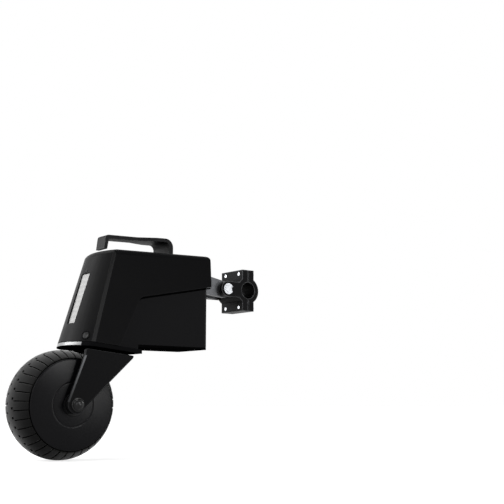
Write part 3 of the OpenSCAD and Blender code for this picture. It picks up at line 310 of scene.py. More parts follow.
def own_finishes():
    """Finishes of single pieces that share another piece's slot."""
    tint = bpy.context.scene.drive_finish
    return {
        # The fork's legs: the fork's coat, with a painted highlight on one bevel each
        "fork_leg_right": leg_finish("right", -1),
        "fork_leg_left": leg_finish("left", 1),
        # The shell's rear face: a fine spark-eroded texture, which greys where it is seen aslant
        "rear_face": surface("moulded ABS, fine matte", tint.shell, 0.42, level=0.017, sheen=0.14,
                             grain_mm=0.7, grain=0.1),
        # The shell's crease: the same black ABS from a polished strip of the mould, which catches more light
        "crease": surface("moulded ABS, satin black", tint.shell, 0.36, level=0.115, grain_mm=0.9,
                          grain=0.05),
        # Undersides, as they leave the mould: dead matte, with no shine even when seen aslant
        "underside": surface("moulded nylon, dull black", linear("#121213"), 0.9, level=0.0, grain=0.2),
        # Blackened steel of the spacers, the bearings' dust shields and the cover's screws: dark, oiled
        "blackened": surface("blackened steel", linear("#141415"), 0.45, level=0.1, grain=0.06),
        # Key surround: smooth black paint with a thin shine
        "bezel": surface("gloss paint on brass, black", linear("#050506"), 0.3, level=0.02, grain=0.02),
        # Sensor window: smoked acrylic, black and glossy
        "window": surface("smoked acrylic", linear("#050506"), 0.1, level=0.12, grain=0.0),
        # Cover of the charging port: soft moulded rubber, dull
        "port": surface("thermoplastic rubber, black", linear("#121213"), 0.6, level=0.03, grain_mm=1.0,
                        grain=0.2),
        # Seals along the step and under the swivel: soft rubber, near-black with no shine as painted shade
        # for the shadows under the shell's edge and in the swivel's gap
        "seal": surface("foam rubber, black", linear("#040404"), 0.9, level=0.0, grain=0.3),
        # The tread's grooves: the same rubber, with no sheen and darker than the crown, as painted shade in
        # the grooves
        "groove": surface("tyre rubber, clean", linear("#070707"), 0.8, level=0.0, grain_mm=1.6, grain=0.2),
        # The wheel's domes: satin black paint on pressed steel, smoother than the fork's coat
        "cover": surface("satin paint on pressed steel, black", tint.cover, 0.28, level=0.07, grain_mm=1.4,
                         grain=0.08),
    }


# Modelling helpers


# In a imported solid's mesh: how near two points are one, and how flat a bend is no edge
SAME_POINT = 0.002 * MM
SAME_PLANE = math.radians(0.4)

# How near the points of a turned profile meet, at its seam and on the axle
SEAM = 0.01 * MM

# Two bevels leave slivers where they meet in a tight corner: up to this width they are closed up
SLIVER = 0.0005 * MM

# Angles in degrees: past the first an edge is rounded, and past the others it isn't shaded smooth
EDGE_ANGLE = 35
SMOOTH_ANGLE = 32
SMALL_ANGLE = 40

# Cosine past which a face is taken to look along a direction
FACING = 0.9

# How far the large faces rule the shading, so a rounded edge doesn't tilt the flats beside it
FLAT_WEIGHT = 80


def alone(obj=None):
    """Leaves edit mode and selects nothing but the piece."""
    if bpy.context.object and bpy.context.object.mode != "OBJECT":
        bpy.ops.object.mode_set(mode="OBJECT")
    bpy.ops.object.select_all(action="DESELECT")
    if obj is not None:
        obj.select_set(True)
        bpy.context.view_layer.objects.active = obj


def started(name):
    """Names the primitive that was just added, puts its place into its mesh and opens it in edit mode."""
    obj = bpy.context.object
    obj.name = obj.data.name = name
    bpy.ops.object.transform_apply(location=True, rotation=True, scale=True)
    bpy.ops.object.mode_set(mode="EDIT")
    return obj


def pick(obj, test, mode="FACE"):
    """Selects the faces or vertices of a piece in edit mode that pass the test."""
    bpy.ops.mesh.select_mode(type=mode)
    bpy.ops.mesh.select_all(action="DESELECT")
    mesh = bmesh.from_edit_mesh(obj.data)
    for item in (mesh.faces if mode == "FACE" else mesh.verts):
        item.select = bool(test(item))
    mesh.select_flush_mode()
    bmesh.update_edit_mesh(obj.data)


def stretched(move):
    """Extrudes what is selected along a vector."""
    bpy.ops.mesh.extrude_region_move(TRANSFORM_OT_translate={"value": move})


def rimmed(rim, step, depth):
    """Leaves a rim round the selected faces, and sinks what is inside it by a step."""
    bpy.ops.mesh.inset(thickness=rim, depth=0)
    bpy.ops.mesh.inset(thickness=step, depth=-depth)


def closed():
    """Turns all faces of the piece in edit mode outwards, and leaves edit mode."""
    bpy.ops.mesh.select_all(action="SELECT")
    bpy.ops.mesh.normals_make_consistent(inside=False)
    bpy.ops.object.mode_set(mode="OBJECT")


def joined(piece, other):
    """Makes two meshes one piece."""
    alone(piece)
    other.select_set(True)
    bpy.ops.object.join()


def bevelled(obj, width, segments=2, angle=EDGE_ANGLE):
    """Rounds the sharp edges of a piece."""
    alone(obj)
    bevel = obj.modifiers.new("edge", "BEVEL")
    bevel.width = width
    bevel.segments = segments
    bevel.limit_method = "ANGLE"
    bevel.angle_limit = math.radians(angle)
    bevel.use_clamp_overlap = True
    bpy.ops.object.modifier_apply(modifier=bevel.name)
    bpy.ops.object.mode_set(mode="EDIT")
    bpy.ops.mesh.select_mode(type="VERT")
    bpy.ops.mesh.select_all(action="SELECT")
    bpy.ops.mesh.dissolve_degenerate(threshold=SLIVER)
    bpy.ops.object.mode_set(mode="OBJECT")


def finish_piece(obj, body, slot, angle=SMOOTH_ANGLE, finish=None):
    """Shades a piece, gives it its finish and sets it on its body."""
    alone(obj)
    bpy.ops.object.shade_smooth_by_angle(angle=math.radians(angle))
    even = obj.modifiers.new("even", "WEIGHTED_NORMAL")
    even.keep_sharp = True
    even.weight = FLAT_WEIGHT
    bpy.ops.object.modifier_apply(modifier=even.name)
    obj.data.materials.clear()
    obj.data.materials.append(FINISH[finish or slot])
    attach(obj, body)


def softened(node, width, segments=2, smooth=SMOOTH_ANGLE, shape=None):
    """A copy of a solid with its edges rounded, which stands for it. shape works on it in edit mode first."""
    source = frame["nodes"][node]
    obj = bpy.data.objects.new(node + "_soft", source.data.copy())
    bpy.context.scene.collection.objects.link(obj)
    alone(obj)
    bpy.ops.object.mode_set(mode="EDIT")
    bpy.ops.mesh.select_all(action="SELECT")
    bpy.ops.mesh.remove_doubles(threshold=SAME_POINT)
    bpy.ops.mesh.dissolve_limited(angle_limit=SAME_PLANE)
    if shape is not None:
        shape(obj)
    bpy.ops.object.mode_set(mode="OBJECT")
    bevelled(obj, width, segments)
    finish_piece(obj, source["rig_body"], SLOT_OF[node], smooth, OWN_FINISH.get(node))
    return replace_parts(obj, node)


def wire(name, points):
    """Starts a piece as a chain of edges through the points, all selected in edit mode."""
    alone()
    bpy.ops.mesh.primitive_plane_add(size=MM, location=(0, 0, 0))
    obj = started(name)
    bpy.ops.mesh.select_mode(type="VERT")
    bpy.ops.mesh.select_all(action="SELECT")
    bpy.ops.mesh.merge(type="CENTER")
    bpy.ops.transform.translate(value=points[0])
    for before, after in zip(points, points[1:]):
        stretched(after - before)
    bpy.ops.mesh.select_all(action="SELECT")
    return obj


def turned(name, profile, steps):
    """Spins a profile of (radius, offset along the axle) points about the wheel's axle."""
    obj = wire(name, [AXLE + Vector((0, y, r)) for r, y in profile])
    bpy.ops.mesh.spin(steps=steps, angle=2 * math.pi, center=AXLE, axis=(0, 1, 0))
    bpy.ops.mesh.select_all(action="SELECT")
    bpy.ops.mesh.remove_doubles(threshold=SEAM)
    bpy.ops.mesh.normals_make_consistent(inside=False)
    return obj


# Pieces


class DRIVE_OT_solids(Operator):
    """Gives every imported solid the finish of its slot."""
    bl_idname = "drive.solids"
    bl_label = "Finish the solids"

    def execute(self, context):
        for name, node in frame["nodes"].items():
            node.data.materials.clear()
            node.data.materials.append(FINISH[OWN_FINISH.get(name, SLOT_OF[name])])
        return {"FINISHED"}


class DRIVE_OT_body(Operator):
    """Rounds the moulded edges of the shells, the trim, the light strip, the lever and the button."""
    bl_idname = "drive.body"
    bl_label = "Body"

    # Edges of plates, of fine pieces and of the lever, as shares of the shell's edge
    PLATE_SHARE, FINE_SHARE, LEVER_SHARE = 0.6, 0.4, 1.2

    # Past this angle in degrees the shell isn't shaded smooth, so its creases stay crisp
    SHELL_ANGLE = 14

    # The way that the faces of the crease and of the rear look, by the parts of their normals
    CREASE_BACK, CREASE_ASIDE, REAR_BACK = (-0.6, -0.25), 0.75, -0.5

    # How far the light strip's front comes out at its top, how much of its end moves, and what is its front
    LENS_OUT, LENS_END, LENS_FACING = 6.4 * MM, 3 * MM, 0.2

    def execute(self, context):
        edge = context.scene.drive_edges.shell_edge
        self.textured(softened("outer_shell", edge, segments=3, smooth=self.SHELL_ANGLE))
        softened("battery_case", edge)
        softened("case_floor", edge)
        softened("base_plate", self.PLATE_SHARE * edge)
        softened("lower_trim", self.FINE_SHARE * edge)
        softened("status_lens", self.FINE_SHARE * edge, shape=self.lens)
        softened("release_lever", self.LEVER_SHARE * edge, segments=3)
        softened("button_bezel", self.FINE_SHARE * edge)
        softened("power_button", self.FINE_SHARE * edge)
        return {"FINISHED"}

    def textured(self, shell):
        """Gives the rear face a finer texture than the sides, and the crease between them a smoother one."""
        shell.data.materials.append(FINISH["crease"])
        shell.data.materials.append(FINISH["rear_face"])
        low, high = self.CREASE_BACK
        for face in shell.data.polygons:
            if low < face.normal.x < high and abs(face.normal.y) > self.CREASE_ASIDE:
                face.material_index = 1
            elif face.normal.x < self.REAR_BACK:
                face.material_index = 2

    def lens(self, piece):
        """Brings the top of the strip's front out towards the rear face, so it stands in the light."""
        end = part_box("status_lens")[1].z - self.LENS_END
        pick(piece, lambda v: v.co.z > end and v.normal.dot(REAR_OUT) > self.LENS_FACING, "VERT")
        bpy.ops.transform.translate(value=self.LENS_OUT * REAR_OUT)


class DRIVE_OT_window(Operator):
    """Adds the dark sensor window in the rear face, over the light strip."""
    bl_idname = "drive.window"
    bl_label = "Sensor window"

    # Place: over the light strip's top, and off the middle
    RISE, ASIDE = 6.2 * MM, -1.5 * MM
    RADIUS, DEPTH, SUNK, SIDES = 2.8 * MM, 1.6 * MM, 0.3 * MM, 32

    # The rim, the step inside it and the radius on their edges
    RIM, STEP, STEP_DEPTH, EDGE = 0.45 * MM, 0.12 * MM, 0.25 * MM, 0.12 * MM
    GLASS_ANGLE = 30

    def execute(self, context):
        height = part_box("status_lens")[1].z + self.RISE
        spot = Vector((REAR_FOOT.x + (height - REAR_FOOT.z) * math.tan(REAR_LEAN), self.ASIDE, height))
        alone()
        bpy.ops.mesh.primitive_cylinder_add(vertices=self.SIDES, radius=self.RADIUS, depth=self.DEPTH,
                                            location=spot - self.SUNK * REAR_OUT,
                                            rotation=REAR_OUT.to_track_quat("Z", "Y").to_euler())
        piece = started("sensor_window")
        pick(piece, lambda f: f.normal.dot(REAR_OUT) > FACING)
        rimmed(self.RIM, self.STEP, self.STEP_DEPTH)
        bevelled(piece, self.EDGE, angle=SMALL_ANGLE)
        finish_piece(piece, "unit", "lens", self.GLASS_ANGLE, "window")
        return {"FINISHED"}


class DRIVE_OT_seals(Operator):
    """Adds a lip of soft rubber on each side of the case, under the shell's edge, in near-black as painted
    shade for the shadow under the shell's overhang.
    """
    bl_idname = "drive.seals"
    bl_label = "Step seals"

    # The shell's edge over the case in (x, z): up the step, round its corner and forwards
    STEP_MM = ((-281.6, -109.3), (-245.8, -37.2), (-243.6, -33.6), (-240.8, -31.3), (-236.5, -30.0),
               (-98.6, -3.4))

    # Gap to the case, place under the shell's edge, and the lip's height, thickness and edge
    GAP = 0.05 * MM
    TUCK = Vector((0.1, 0, -0.4)) * MM
    LIP = Vector((1.2, 0, -2.4)) * MM
    THICK, EDGE = 1.4 * MM, 0.5 * MM

    def execute(self, context):
        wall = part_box("battery_case")[1].y + self.GAP
        for sign, name in ((-1, "step_seal_right"), (1, "step_seal_left")):
            piece = wire(name, [Vector((x * MM, sign * wall, z * MM)) for x, z in self.STEP_MM])
            bpy.ops.transform.translate(value=self.TUCK)
            stretched(self.LIP)
            bpy.ops.mesh.select_all(action="SELECT")
            stretched((0, sign * self.THICK, 0))
            closed()
            bevelled(piece, self.EDGE, angle=SMALL_ANGLE)
            # Near-black with no shine: painted shade for the shadow under the shell's edge
            finish_piece(piece, "unit", "tyre_rubber", SMALL_ANGLE, "seal")
        return {"FINISHED"}


class DRIVE_OT_washer(Operator):
    """Adds the dust washer that fills the swivel's gap, between the fork's crown and the base plate; its
    near-black is painted shade for the shadow in that gap.
    """
    bl_idname = "drive.washer"
    bl_label = "Dust washer"

    # The washer, how far its middle lies under the base plate, and the width of its ring round the bore
    RADIUS, THICK, DROP, RING, SIDES = 40 * MM, 4.4 * MM, 2.75 * MM, 23 * MM, 96

    # The rim on its top, the step inside it and the radius on their edges
    RIM, STEP, STEP_DEPTH, EDGE = 6 * MM, 1.0 * MM, 0.8 * MM, 0.25 * MM

    def execute(self, context):
        alone()
        bpy.ops.mesh.primitive_cylinder_add(vertices=self.SIDES, radius=self.RADIUS, depth=self.THICK,
                                            location=SWIVEL_FOOT - self.DROP * SWIVEL_UP,
                                            rotation=(0, SWIVEL_LEAN, 0))
        piece = started("swivel_washer")
        pick(piece, lambda f: abs(f.normal.dot(SWIVEL_UP)) > FACING)
        bpy.ops.mesh.inset(thickness=self.RING, depth=0)
        bpy.ops.mesh.bridge_edge_loops()
        pick(piece, lambda f: f.normal.dot(SWIVEL_UP) > FACING)
        rimmed(self.RIM, self.STEP, self.STEP_DEPTH)
        closed()
        bevelled(piece, self.EDGE, angle=SMALL_ANGLE)
        # Near-black with no shine: painted shade for the shadow in the swivel's gap
        finish_piece(piece, "fork", "tyre_rubber", SMALL_ANGLE, "seal")
        return {"FINISHED"}


class DRIVE_OT_port(Operator):
    """Adds the soft cover of the charging port, with its pull tab, on the left side of the case."""
    bl_idname = "drive.port"
    bl_label = "Port cover"

    # Place on the case's side in x and z, how deep the plates are let in, and how far down the tab is
    PLACE = Vector((-142, 0, -70)) * MM
    SUNK, TAB_DROP = 0.4 * MM, 15.5 * MM

    # Width, height, corner radius and thickness of the cover and of its tab
    COVER = (38 * MM, 24 * MM, 6 * MM, 2.0 * MM)
    TAB = (11 * MM, 10 * MM, 3.5 * MM, 1.4 * MM)
    CORNER_STEPS = 6

    # The rim on each plate, the step inside it and the radius on their edges
    RIM, STEP, STEP_DEPTH, EDGE = 1.6 * MM, 0.9 * MM, 0.6 * MM, 0.25 * MM

    def execute(self, context):
        case = frame["nodes"]["battery_case"].data
        side = max((f for f in case.polygons if f.normal.y > FACING), key=lambda f: f.area)
        out = side.normal.copy()
        # The side leans, so the cover's middle is brought onto its plane
        middle = self.PLACE.copy()
        middle.y = side.center.y - ((middle - side.center) * Vector((1, 0, 1))).dot(out) / out.y
        down = Vector((0, 0, -self.TAB_DROP))
        cover = self.plate("port_cover", middle, out, *self.COVER)
        tab = self.plate("port_tab", middle + down - down.dot(out) * out, out, *self.TAB)
        joined(cover, tab)
        finish_piece(cover, "unit", "button_rubber", SMALL_ANGLE, "port")
        return {"FINISHED"}

    def plate(self, name, middle, out, wide, tall, corner, rise):
        """A plate with round corners and a raised rim, which stands out from the case."""
        alone()
        bpy.ops.mesh.primitive_plane_add(size=1, location=middle - self.SUNK * out,
                                         rotation=out.to_track_quat("Z", "Y").to_euler())
        bpy.context.object.scale = (wide, tall, 1)
        piece = started(name)
        bpy.ops.mesh.select_mode(type="VERT")
        bpy.ops.mesh.select_all(action="SELECT")
        bpy.ops.mesh.bevel(affect="VERTICES", offset=corner, segments=self.CORNER_STEPS)
        bpy.ops.mesh.select_all(action="SELECT")
        stretched(rise * out)
        rimmed(self.RIM, self.STEP, self.STEP_DEPTH)
        closed()
        bevelled(piece, self.EDGE, angle=SMALL_ANGLE)
        return piece


class DRIVE_OT_metal(Operator):
    """Rounds the edges of the fork, the dock and the other metal pieces that show."""
    bl_idname = "drive.metal"
    bl_label = "Fork and dock"

    NODES = ("fork_leg_left", "fork_leg_right", "fork_crown", "clamp_rear_half", "clamp_front_cap", "chassis",
             "latch_hook", "docking_shaft", "clamp_screws", "cover_screws", "side_cover_left")

    def execute(self, context):
        for node in self.NODES:
            softened(node, context.scene.drive_edges.metal_edge)
        return {"FINISHED"}


class DRIVE_OT_nuts(Operator):
    """Turns a flanged dome nut for each end of the axle."""
    bl_idname = "drive.nuts"
    bl_label = "Axle nuts"

    # Outlines of the flange and of the neck: out from the flange's or the dome's radius, up from the seat
    FLANGE_MM = ((-0.3, 0.0), (0.0, 0.4), (0.0, 1.3), (-0.5, 1.8))
    NECK_MM = ((0.3, 2.0), (-0.2, 2.2))

    # How far the flange stands out from the dome, where the dome begins over the seat, and its roundness
    LEDGE, DOME_RISE, DOME_TURNS = 2.2 * MM, 2.7 * MM, 10

    # Gaps round the axle's end and over it, and the least thickness of the dome there
    BORE_GAP, END_GAP, CAP = 0.1 * MM, 0.3 * MM, 1.5 * MM
    STEPS = 48

    def execute(self, context):
        low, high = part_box("axle_nuts")
        seat, top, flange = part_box("fork_leg_left")[1].y, high.y, (high.z - low.z) / 2
        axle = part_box("wheel_axle")[1]
        bore, bore_end = axle.z - AXLE.z + self.BORE_GAP, min(axle.y + self.END_GAP, top - self.CAP)
        dome_r, dome_low = flange - self.LEDGE, seat + self.DOME_RISE
        side = [(0.0, bore_end), (bore, bore_end), (bore, seat)]
        side += [(flange + out * MM, seat + up * MM) for out, up in self.FLANGE_MM]
        side += [(dome_r + out * MM, seat + up * MM) for out, up in self.NECK_MM]
        for i in range(self.DOME_TURNS):
            turn = i / self.DOME_TURNS * math.pi / 2
            side.append((dome_r * math.cos(turn), dome_low + (top - dome_low) * math.sin(turn)))
        side.append((0.0, top))
        left = turned("nut_left", side, self.STEPS)
        right = turned("dome_nuts", [(r, -y) for r, y in side], self.STEPS)
        joined(right, left)
        finish_piece(right, "fork", "dark_nut", SMALL_ANGLE)
        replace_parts(right, "axle_nuts")
        return {"FINISHED"}


class DRIVE_OT_covers(Operator):
    """Turns the smooth dome that closes the wheel's right side."""
    bl_idname = "drive.covers"
    bl_label = "Wheel covers"

    # Radii of the bore, of the ring that is pressed into the dome and of the part inside the tyre
    BORE, RING, INSIDE = 17.65 * MM, 34.4 * MM, 57.6 * MM

    # How far the dome's edge stands out from the tyre's side, the edge's foot, and the gap to the tyre
    STAND, EDGE, GAP = 1.6 * MM, 0.5 * MM, 0.05 * MM
    BORE_EDGE = 0.5 * MM

    # Radii at which the dome is drawn, inside and outside the ring
    INNER_MM = (22, 25, 28, 31, 32.6)
    OUTER_MM = (37, 40, 44, 48, 52, 56, 60, 64, 67, 69)

    # The ring's hollow and the dome's rounded edge: out from the ring's or the edge's radius, and how deep
    RING_MM = ((-0.9, 0.05), (-0.5, 0.5), (0.0, 0.62), (0.5, 0.45), (1.2, 0.05))
    ROUND_MM = ((-1.1, 0.06), (-0.45, 0.32), (-0.1, 0.75))
    STEPS = 160

    def execute(self, context):
        low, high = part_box("side_cover_right")
        outer, edge_r = -low.y, (high.z - low.z) / 2
        tread = TYRE_HIGH.y
        drop = outer - tread - self.STAND
        dome = (edge_r ** 2 + drop ** 2) / (2 * drop)

        def face(r, sunk=0.0):
            return r, -(outer - dome + math.sqrt(dome * dome - r * r) - sunk)

        points = [(self.BORE, high.y), face(self.BORE, self.BORE_EDGE), face(self.BORE + self.BORE_EDGE)]
        points += [face(r * MM) for r in self.INNER_MM]
        points += [face(self.RING + out * MM, sunk * MM) for out, sunk in self.RING_MM]
        points += [face(r * MM) for r in self.OUTER_MM]
        points += [face(edge_r + out * MM, sunk * MM) for out, sunk in self.ROUND_MM]
        points += [(edge_r, -(tread + self.EDGE)), (edge_r, -(tread + self.GAP)),
                   (self.INSIDE, -(tread + self.GAP)), (self.INSIDE, high.y), (self.BORE, high.y)]
        cover = turned("cover_dome_right", points, self.STEPS)
        finish_piece(cover, "wheel", SLOT_OF["side_cover_right"], SMALL_ANGLE, "cover")
        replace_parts(cover, "side_cover_right")
        return {"FINISHED"}


class DRIVE_OT_tyre(Operator):
    """Turns the tyre, sinks its cross grooves and the row of dots that show how worn it is, and rounds their
    lips.
    """
    bl_idname = "drive.tyre"
    bl_label = "Tyre"

    # Radius of the crown across the tread, and the bead: its radius, its share of the width and its step
    CROWN = 63 * MM
    BEAD, BEAD_SHARE, BEAD_STEP = 58 * MM, 0.5, 0.05 * MM

    # Rows across half the tread. The dots and the grooves begin and end on rows
    ROWS_MM = (0, 3.6, 6.6, 10.8, 13, 16, 19.5, 23, 26.5, 30, 33, 36, 38)
    DOTS_FROM, DOTS_TO, GROOVES_FROM = 6.6 * MM, 10.8 * MM, 13 * MM

    # The shoulder with its line: in from the tread's edge, and in from the tyre's side
    SHOULDER_MM = ((0.15, 0.3), (0.7, 0.0), (1.0, 0.9), (1.8, 1.2), (2.3, 0.3), (2.8, 0.05))

    # Columns in one pitch of the tread, and those of the grooves and the dots, on the right and the left
    COLUMNS = 16
    GROOVES = ((5, 6), (13, 14))
    DOTS = ((8, 9, 10, 11), (0, 1, 2, 3))

    # The lips' edge, the angle past which a lip is rounded, and what still counts as the tread's face
    LIP, LIP_ANGLE, FACE = 0.3 * MM, 50, 0.5 * MM

    # Faces that are deeper than the lip, up to a little past the floor, get the painted shade, but not the
    # tyre's sides
    CLEAN_FROM, CLEAN_PAST, CLEAN_SIDE = 0.45 * MM, 0.5 * MM, 0.4 * MM

    def execute(self, context):
        pitches = context.scene.drive_edges.tread_pitches
        tyre = turned("tyre_treaded", self.profile(), pitches * self.COLUMNS)
        self.grooved(tyre, 2 * math.pi / pitches, context.scene.drive_edges.groove_depth)
        bevelled(tyre, self.LIP, 1, self.LIP_ANGLE)
        finish_piece(tyre, "wheel", "tyre_rubber")
        # Painted shade: the grooves and dots get a darker rubber than the crown
        self.cleaned(tyre, context.scene.drive_edges.groove_depth)
        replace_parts(tyre, "tyre")
        return {"FINISHED"}

    def crown_r(self, y):
        """Radius of the tread at an offset from the tyre's middle."""
        return WHEEL_R - self.CROWN + math.sqrt(self.CROWN ** 2 - y * y)

    def profile(self):
        """The tyre's closed section, from one bead over the tread to the other."""
        half = TYRE_HIGH.y
        edge_r = self.crown_r(half)
        side = [(self.crown_r(y * MM), y * MM) for y in self.ROWS_MM]
        side += [(edge_r - down * MM, half - inward * MM) for down, inward in self.SHOULDER_MM]
        side += [(self.BEAD, half - self.BEAD_STEP), (self.BEAD, self.BEAD_SHARE * half)]
        return [(r, -y) for r, y in reversed(side[1:])] + side + [(self.BEAD, -self.BEAD_SHARE * half)]

    def grooved(self, tyre, pitch, depth):
        """Sinks the grooves and the dots, which are half a pitch apart on the two sides."""
        half = TYRE_HIGH.y
        tread_r = self.crown_r(half) - self.FACE

        def sunk(face):
            spot = face.calc_center_median() - AXLE
            left = int(spot.y > 0)
            column = int((math.atan2(spot.x, spot.z) % pitch) / pitch * self.COLUMNS)
            if math.hypot(spot.x, spot.z) < tread_r:
                return False
            if self.GROOVES_FROM < abs(spot.y) < half:
                return column in self.GROOVES[left]
            return self.DOTS_FROM < abs(spot.y) < self.DOTS_TO and column in self.DOTS[left]

        pick(tyre, sunk)
        bpy.ops.mesh.extrude_region_shrink_fatten(TRANSFORM_OT_shrink_fatten={"value": -depth})
        closed()

    def cleaned(self, tyre, depth):
        """Gives the grooves and dots a darker rubber with no sheen, as painted shade in them, where the crown
        keeps its dusty sheen.
        """
        half = TYRE_HIGH.y
        tyre.data.materials.append(FINISH["groove"])
        for face in tyre.data.polygons:
            spot = face.center - AXLE
            sunk = self.crown_r(min(abs(spot.y), half)) - math.hypot(spot.x, spot.z)
            deep = self.CLEAN_FROM < sunk < depth + self.CLEAN_PAST
            if deep and abs(spot.y) < half - self.CLEAN_SIDE:
                face.material_index = 1


# Stage


class DRIVE_OT_stage(Operator):
    """Adds the pale floor, the soft lamps, the white surround and the camera."""
    bl_idname = "drive.stage"
    bl_label = "Stage"

    # Each soft lamp: its name, place, width and height in metres, and power in watts. All face one point
    LAMPS = (
        ("rim", (-1.9, 1.6, 0.9), 1.4, 1.4, 66),
        ("top", (-0.5, 0.1, 2.2), 1.6, 1.6, 36),
        ("left", (-2.3, -0.2, 1.3), 1.0, 1.2, 20),
        ("strip", (-0.95, -2.2, 0.35), 0.35, 1.5, 12),
        ("front", (0.42, -1.94, 0.5), 0.32, 0.32, 12),
        ("fill", (0.95, -1.75, -0.08), 0.5, 0.4, 7),
        ("dock", (2.1, 0.5, 0.8), 1.4, 1.0, 30),
    )
    LAMPS_FACE = Vector((-0.25, 0, -0.05))

    # The camera: place, tilt and turn in degrees, focal length and sensor in millimetres, and nearest view
    CAMERA_PLACE = (-1.05385, -1.37623, -0.20597)
    CAMERA_TILT, CAMERA_TURN = 99.242, -38.336
    CAMERA_LENS, CAMERA_SENSOR, CAMERA_NEAR = 66.71, 36, 0.01

    # The floor's glow near the unit and far off, and the distances between which it grows
    FLOOR_SIZE = 40
    GLOW_NEAR, GLOW_FAR = 0.74, 1.0
    GLOW_FROM, GLOW_TO = 0.4, 3.0

    # The surround as light and as it is seen
    SURROUND_LIGHT, SURROUND_SEEN = 0.13, 1.0
    WHITE = (1, 1, 1, 1)

    def execute(self, context):
        scene = context.scene
        scene.view_settings.view_transform = "Standard"
        alone()
        bpy.ops.mesh.primitive_plane_add(size=self.FLOOR_SIZE, location=(0, 0, FLOOR_Z))
        floor = context.object
        floor.name = "floor"
        floor.data.materials.append(self.floor_finish())
        self.surround(scene)
        for name, spot, wide, tall, power in self.LAMPS:
            bpy.ops.object.light_add(type="AREA", location=spot)
            lamp = context.object
            lamp.name = name
            lamp.data.shape = "RECTANGLE"
            lamp.data.size = wide
            lamp.data.size_y = tall
            lamp.data.energy = power
            lamp.rotation_euler = (self.LAMPS_FACE - Vector(spot)).to_track_quat("-Z", "Y").to_euler()
        turn = (math.radians(self.CAMERA_TILT), 0, math.radians(self.CAMERA_TURN))
        bpy.ops.object.camera_add(location=self.CAMERA_PLACE, rotation=turn)
        camera = context.object
        camera.data.sensor_width = self.CAMERA_SENSOR
        camera.data.lens = self.CAMERA_LENS
        camera.data.clip_start = self.CAMERA_NEAR
        scene.camera = camera
        return {"FINISHED"}

    def seen(self, tree):
        """One where a ray from the camera, a gloss or a clear piece looks, and zero for light."""
        path = add(tree, "ShaderNodeLightPath")
        gloss = add(tree, "ShaderNodeMath", {
            0: path.outputs["Is Camera Ray"], 1: path.outputs["Is Glossy Ray"]}, operation="MAXIMUM")
        clear = add(tree, "ShaderNodeMath", {
            0: gloss.outputs["Value"], 1: path.outputs["Is Transmission Ray"]}, operation="MAXIMUM")
        return clear.outputs["Value"]

    def floor_finish(self):
        """The finish of a white paper floor."""
        # Shows white, keeps a soft shadow, and throws little light back up under the wheel
        mat = bpy.data.materials.new("white paper")
        mat.use_nodes = True
        tree = mat.node_tree
        tree.nodes.clear()
        paper = add(tree, "ShaderNodeBsdfDiffuse", {"Color": linear("#a8a8a8")})
        far = add(tree, "ShaderNodeVectorMath", {
            0: add(tree, "ShaderNodeTexCoord").outputs["Object"]}, operation="LENGTH")
        rise = add(tree, "ShaderNodeMapRange", {
            "Value": far.outputs["Value"], "From Min": self.GLOW_FROM, "From Max": self.GLOW_TO,
            "To Min": self.GLOW_NEAR, "To Max": self.GLOW_FAR})
        glow = add(tree, "ShaderNodeEmission", {"Color": self.WHITE, "Strength": rise.outputs["Result"]})
        both = add(tree, "ShaderNodeAddShader", {0: paper.outputs["BSDF"], 1: glow.outputs["Emission"]})
        dim = add(tree, "ShaderNodeBsdfDiffuse", {"Color": linear("#5e5e5e")})
        mixed = add(tree, "ShaderNodeMixShader", {
            0: self.seen(tree), 1: dim.outputs["BSDF"], 2: both.outputs["Shader"]})
        add(tree, "ShaderNodeOutputMaterial", {"Surface": mixed.outputs["Shader"]})
        return mat

    def surround(self, scene):
        """A white surround that gives less light than it shows."""
        world = bpy.data.worlds.new("white surround")
        scene.world = world
        world.use_nodes = True
        tree = world.node_tree
        tree.nodes.clear()
        strength = add(tree, "ShaderNodeMapRange", {
            "Value": self.seen(tree), "To Min": self.SURROUND_LIGHT, "To Max": self.SURROUND_SEEN})
        back = add(tree, "ShaderNodeBackground", {
            "Color": self.WHITE, "Strength": strength.outputs["Result"]})
        add(tree, "ShaderNodeOutputWorld", {"Surface": back.outputs["Background"]})


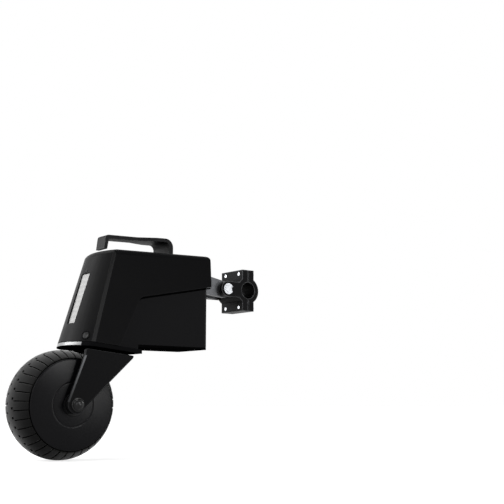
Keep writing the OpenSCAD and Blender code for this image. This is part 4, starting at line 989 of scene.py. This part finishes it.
class DRIVE_PT_panel(Panel):
    """Lists the steps and sizes of the drive unit."""
    bl_idname = "DRIVE_PT_panel"
    bl_label = "Drive unit"
    bl_space_type = "VIEW_3D"
    bl_region_type = "UI"
    bl_category = "Drive unit"

    def draw(self, context):
        for step in STEPS:
            self.layout.operator(step.bl_idname)
        for group in (context.scene.drive_finish, context.scene.drive_edges):
            for key in group.bl_rna.properties.keys():
                if key not in ("rna_type", "name"):
                    self.layout.prop(group, key)


STEPS = (DRIVE_OT_solids, DRIVE_OT_body, DRIVE_OT_window, DRIVE_OT_seals, DRIVE_OT_washer, DRIVE_OT_port,
         DRIVE_OT_metal, DRIVE_OT_nuts, DRIVE_OT_covers, DRIVE_OT_tyre, DRIVE_OT_stage)
CLASSES = (DriveFinish, DriveEdges) + STEPS + (DRIVE_PT_panel,)

# The record's slot of each node, the nodes that have a finish of their own, and all the finishes by name
SLOT_OF = {part["node"]: part["material_slot"] for part in frame["record"]["subparts"]}
OWN_FINISH = {
    "axle_spacers": "blackened", "hub_bearings": "blackened", "cover_screws": "blackened",
    "case_floor": "underside", "base_plate": "underside", "button_bezel": "bezel",
    "fork_leg_left": "fork_leg_left", "fork_leg_right": "fork_leg_right",
    "side_cover_left": "cover", "side_cover_right": "cover",
}
FINISH = {}


def register():
    for item in CLASSES:
        bpy.utils.register_class(item)
    bpy.types.Scene.drive_finish = PointerProperty(type=DriveFinish)
    bpy.types.Scene.drive_edges = PointerProperty(type=DriveEdges)


def unregister():
    del bpy.types.Scene.drive_edges
    del bpy.types.Scene.drive_finish
    for item in reversed(CLASSES):
        bpy.utils.unregister_class(item)


def main():
    register()
    FINISH.update(finishes())
    FINISH.update(own_finishes())
    bpy.ops.drive.solids()
    bpy.ops.drive.body()
    bpy.ops.drive.window()
    bpy.ops.drive.seals()
    bpy.ops.drive.washer()
    bpy.ops.drive.port()
    bpy.ops.drive.metal()
    bpy.ops.drive.nuts()
    bpy.ops.drive.covers()
    bpy.ops.drive.tyre()
    bpy.ops.drive.stage()


if __name__ == "__main__":
    main()
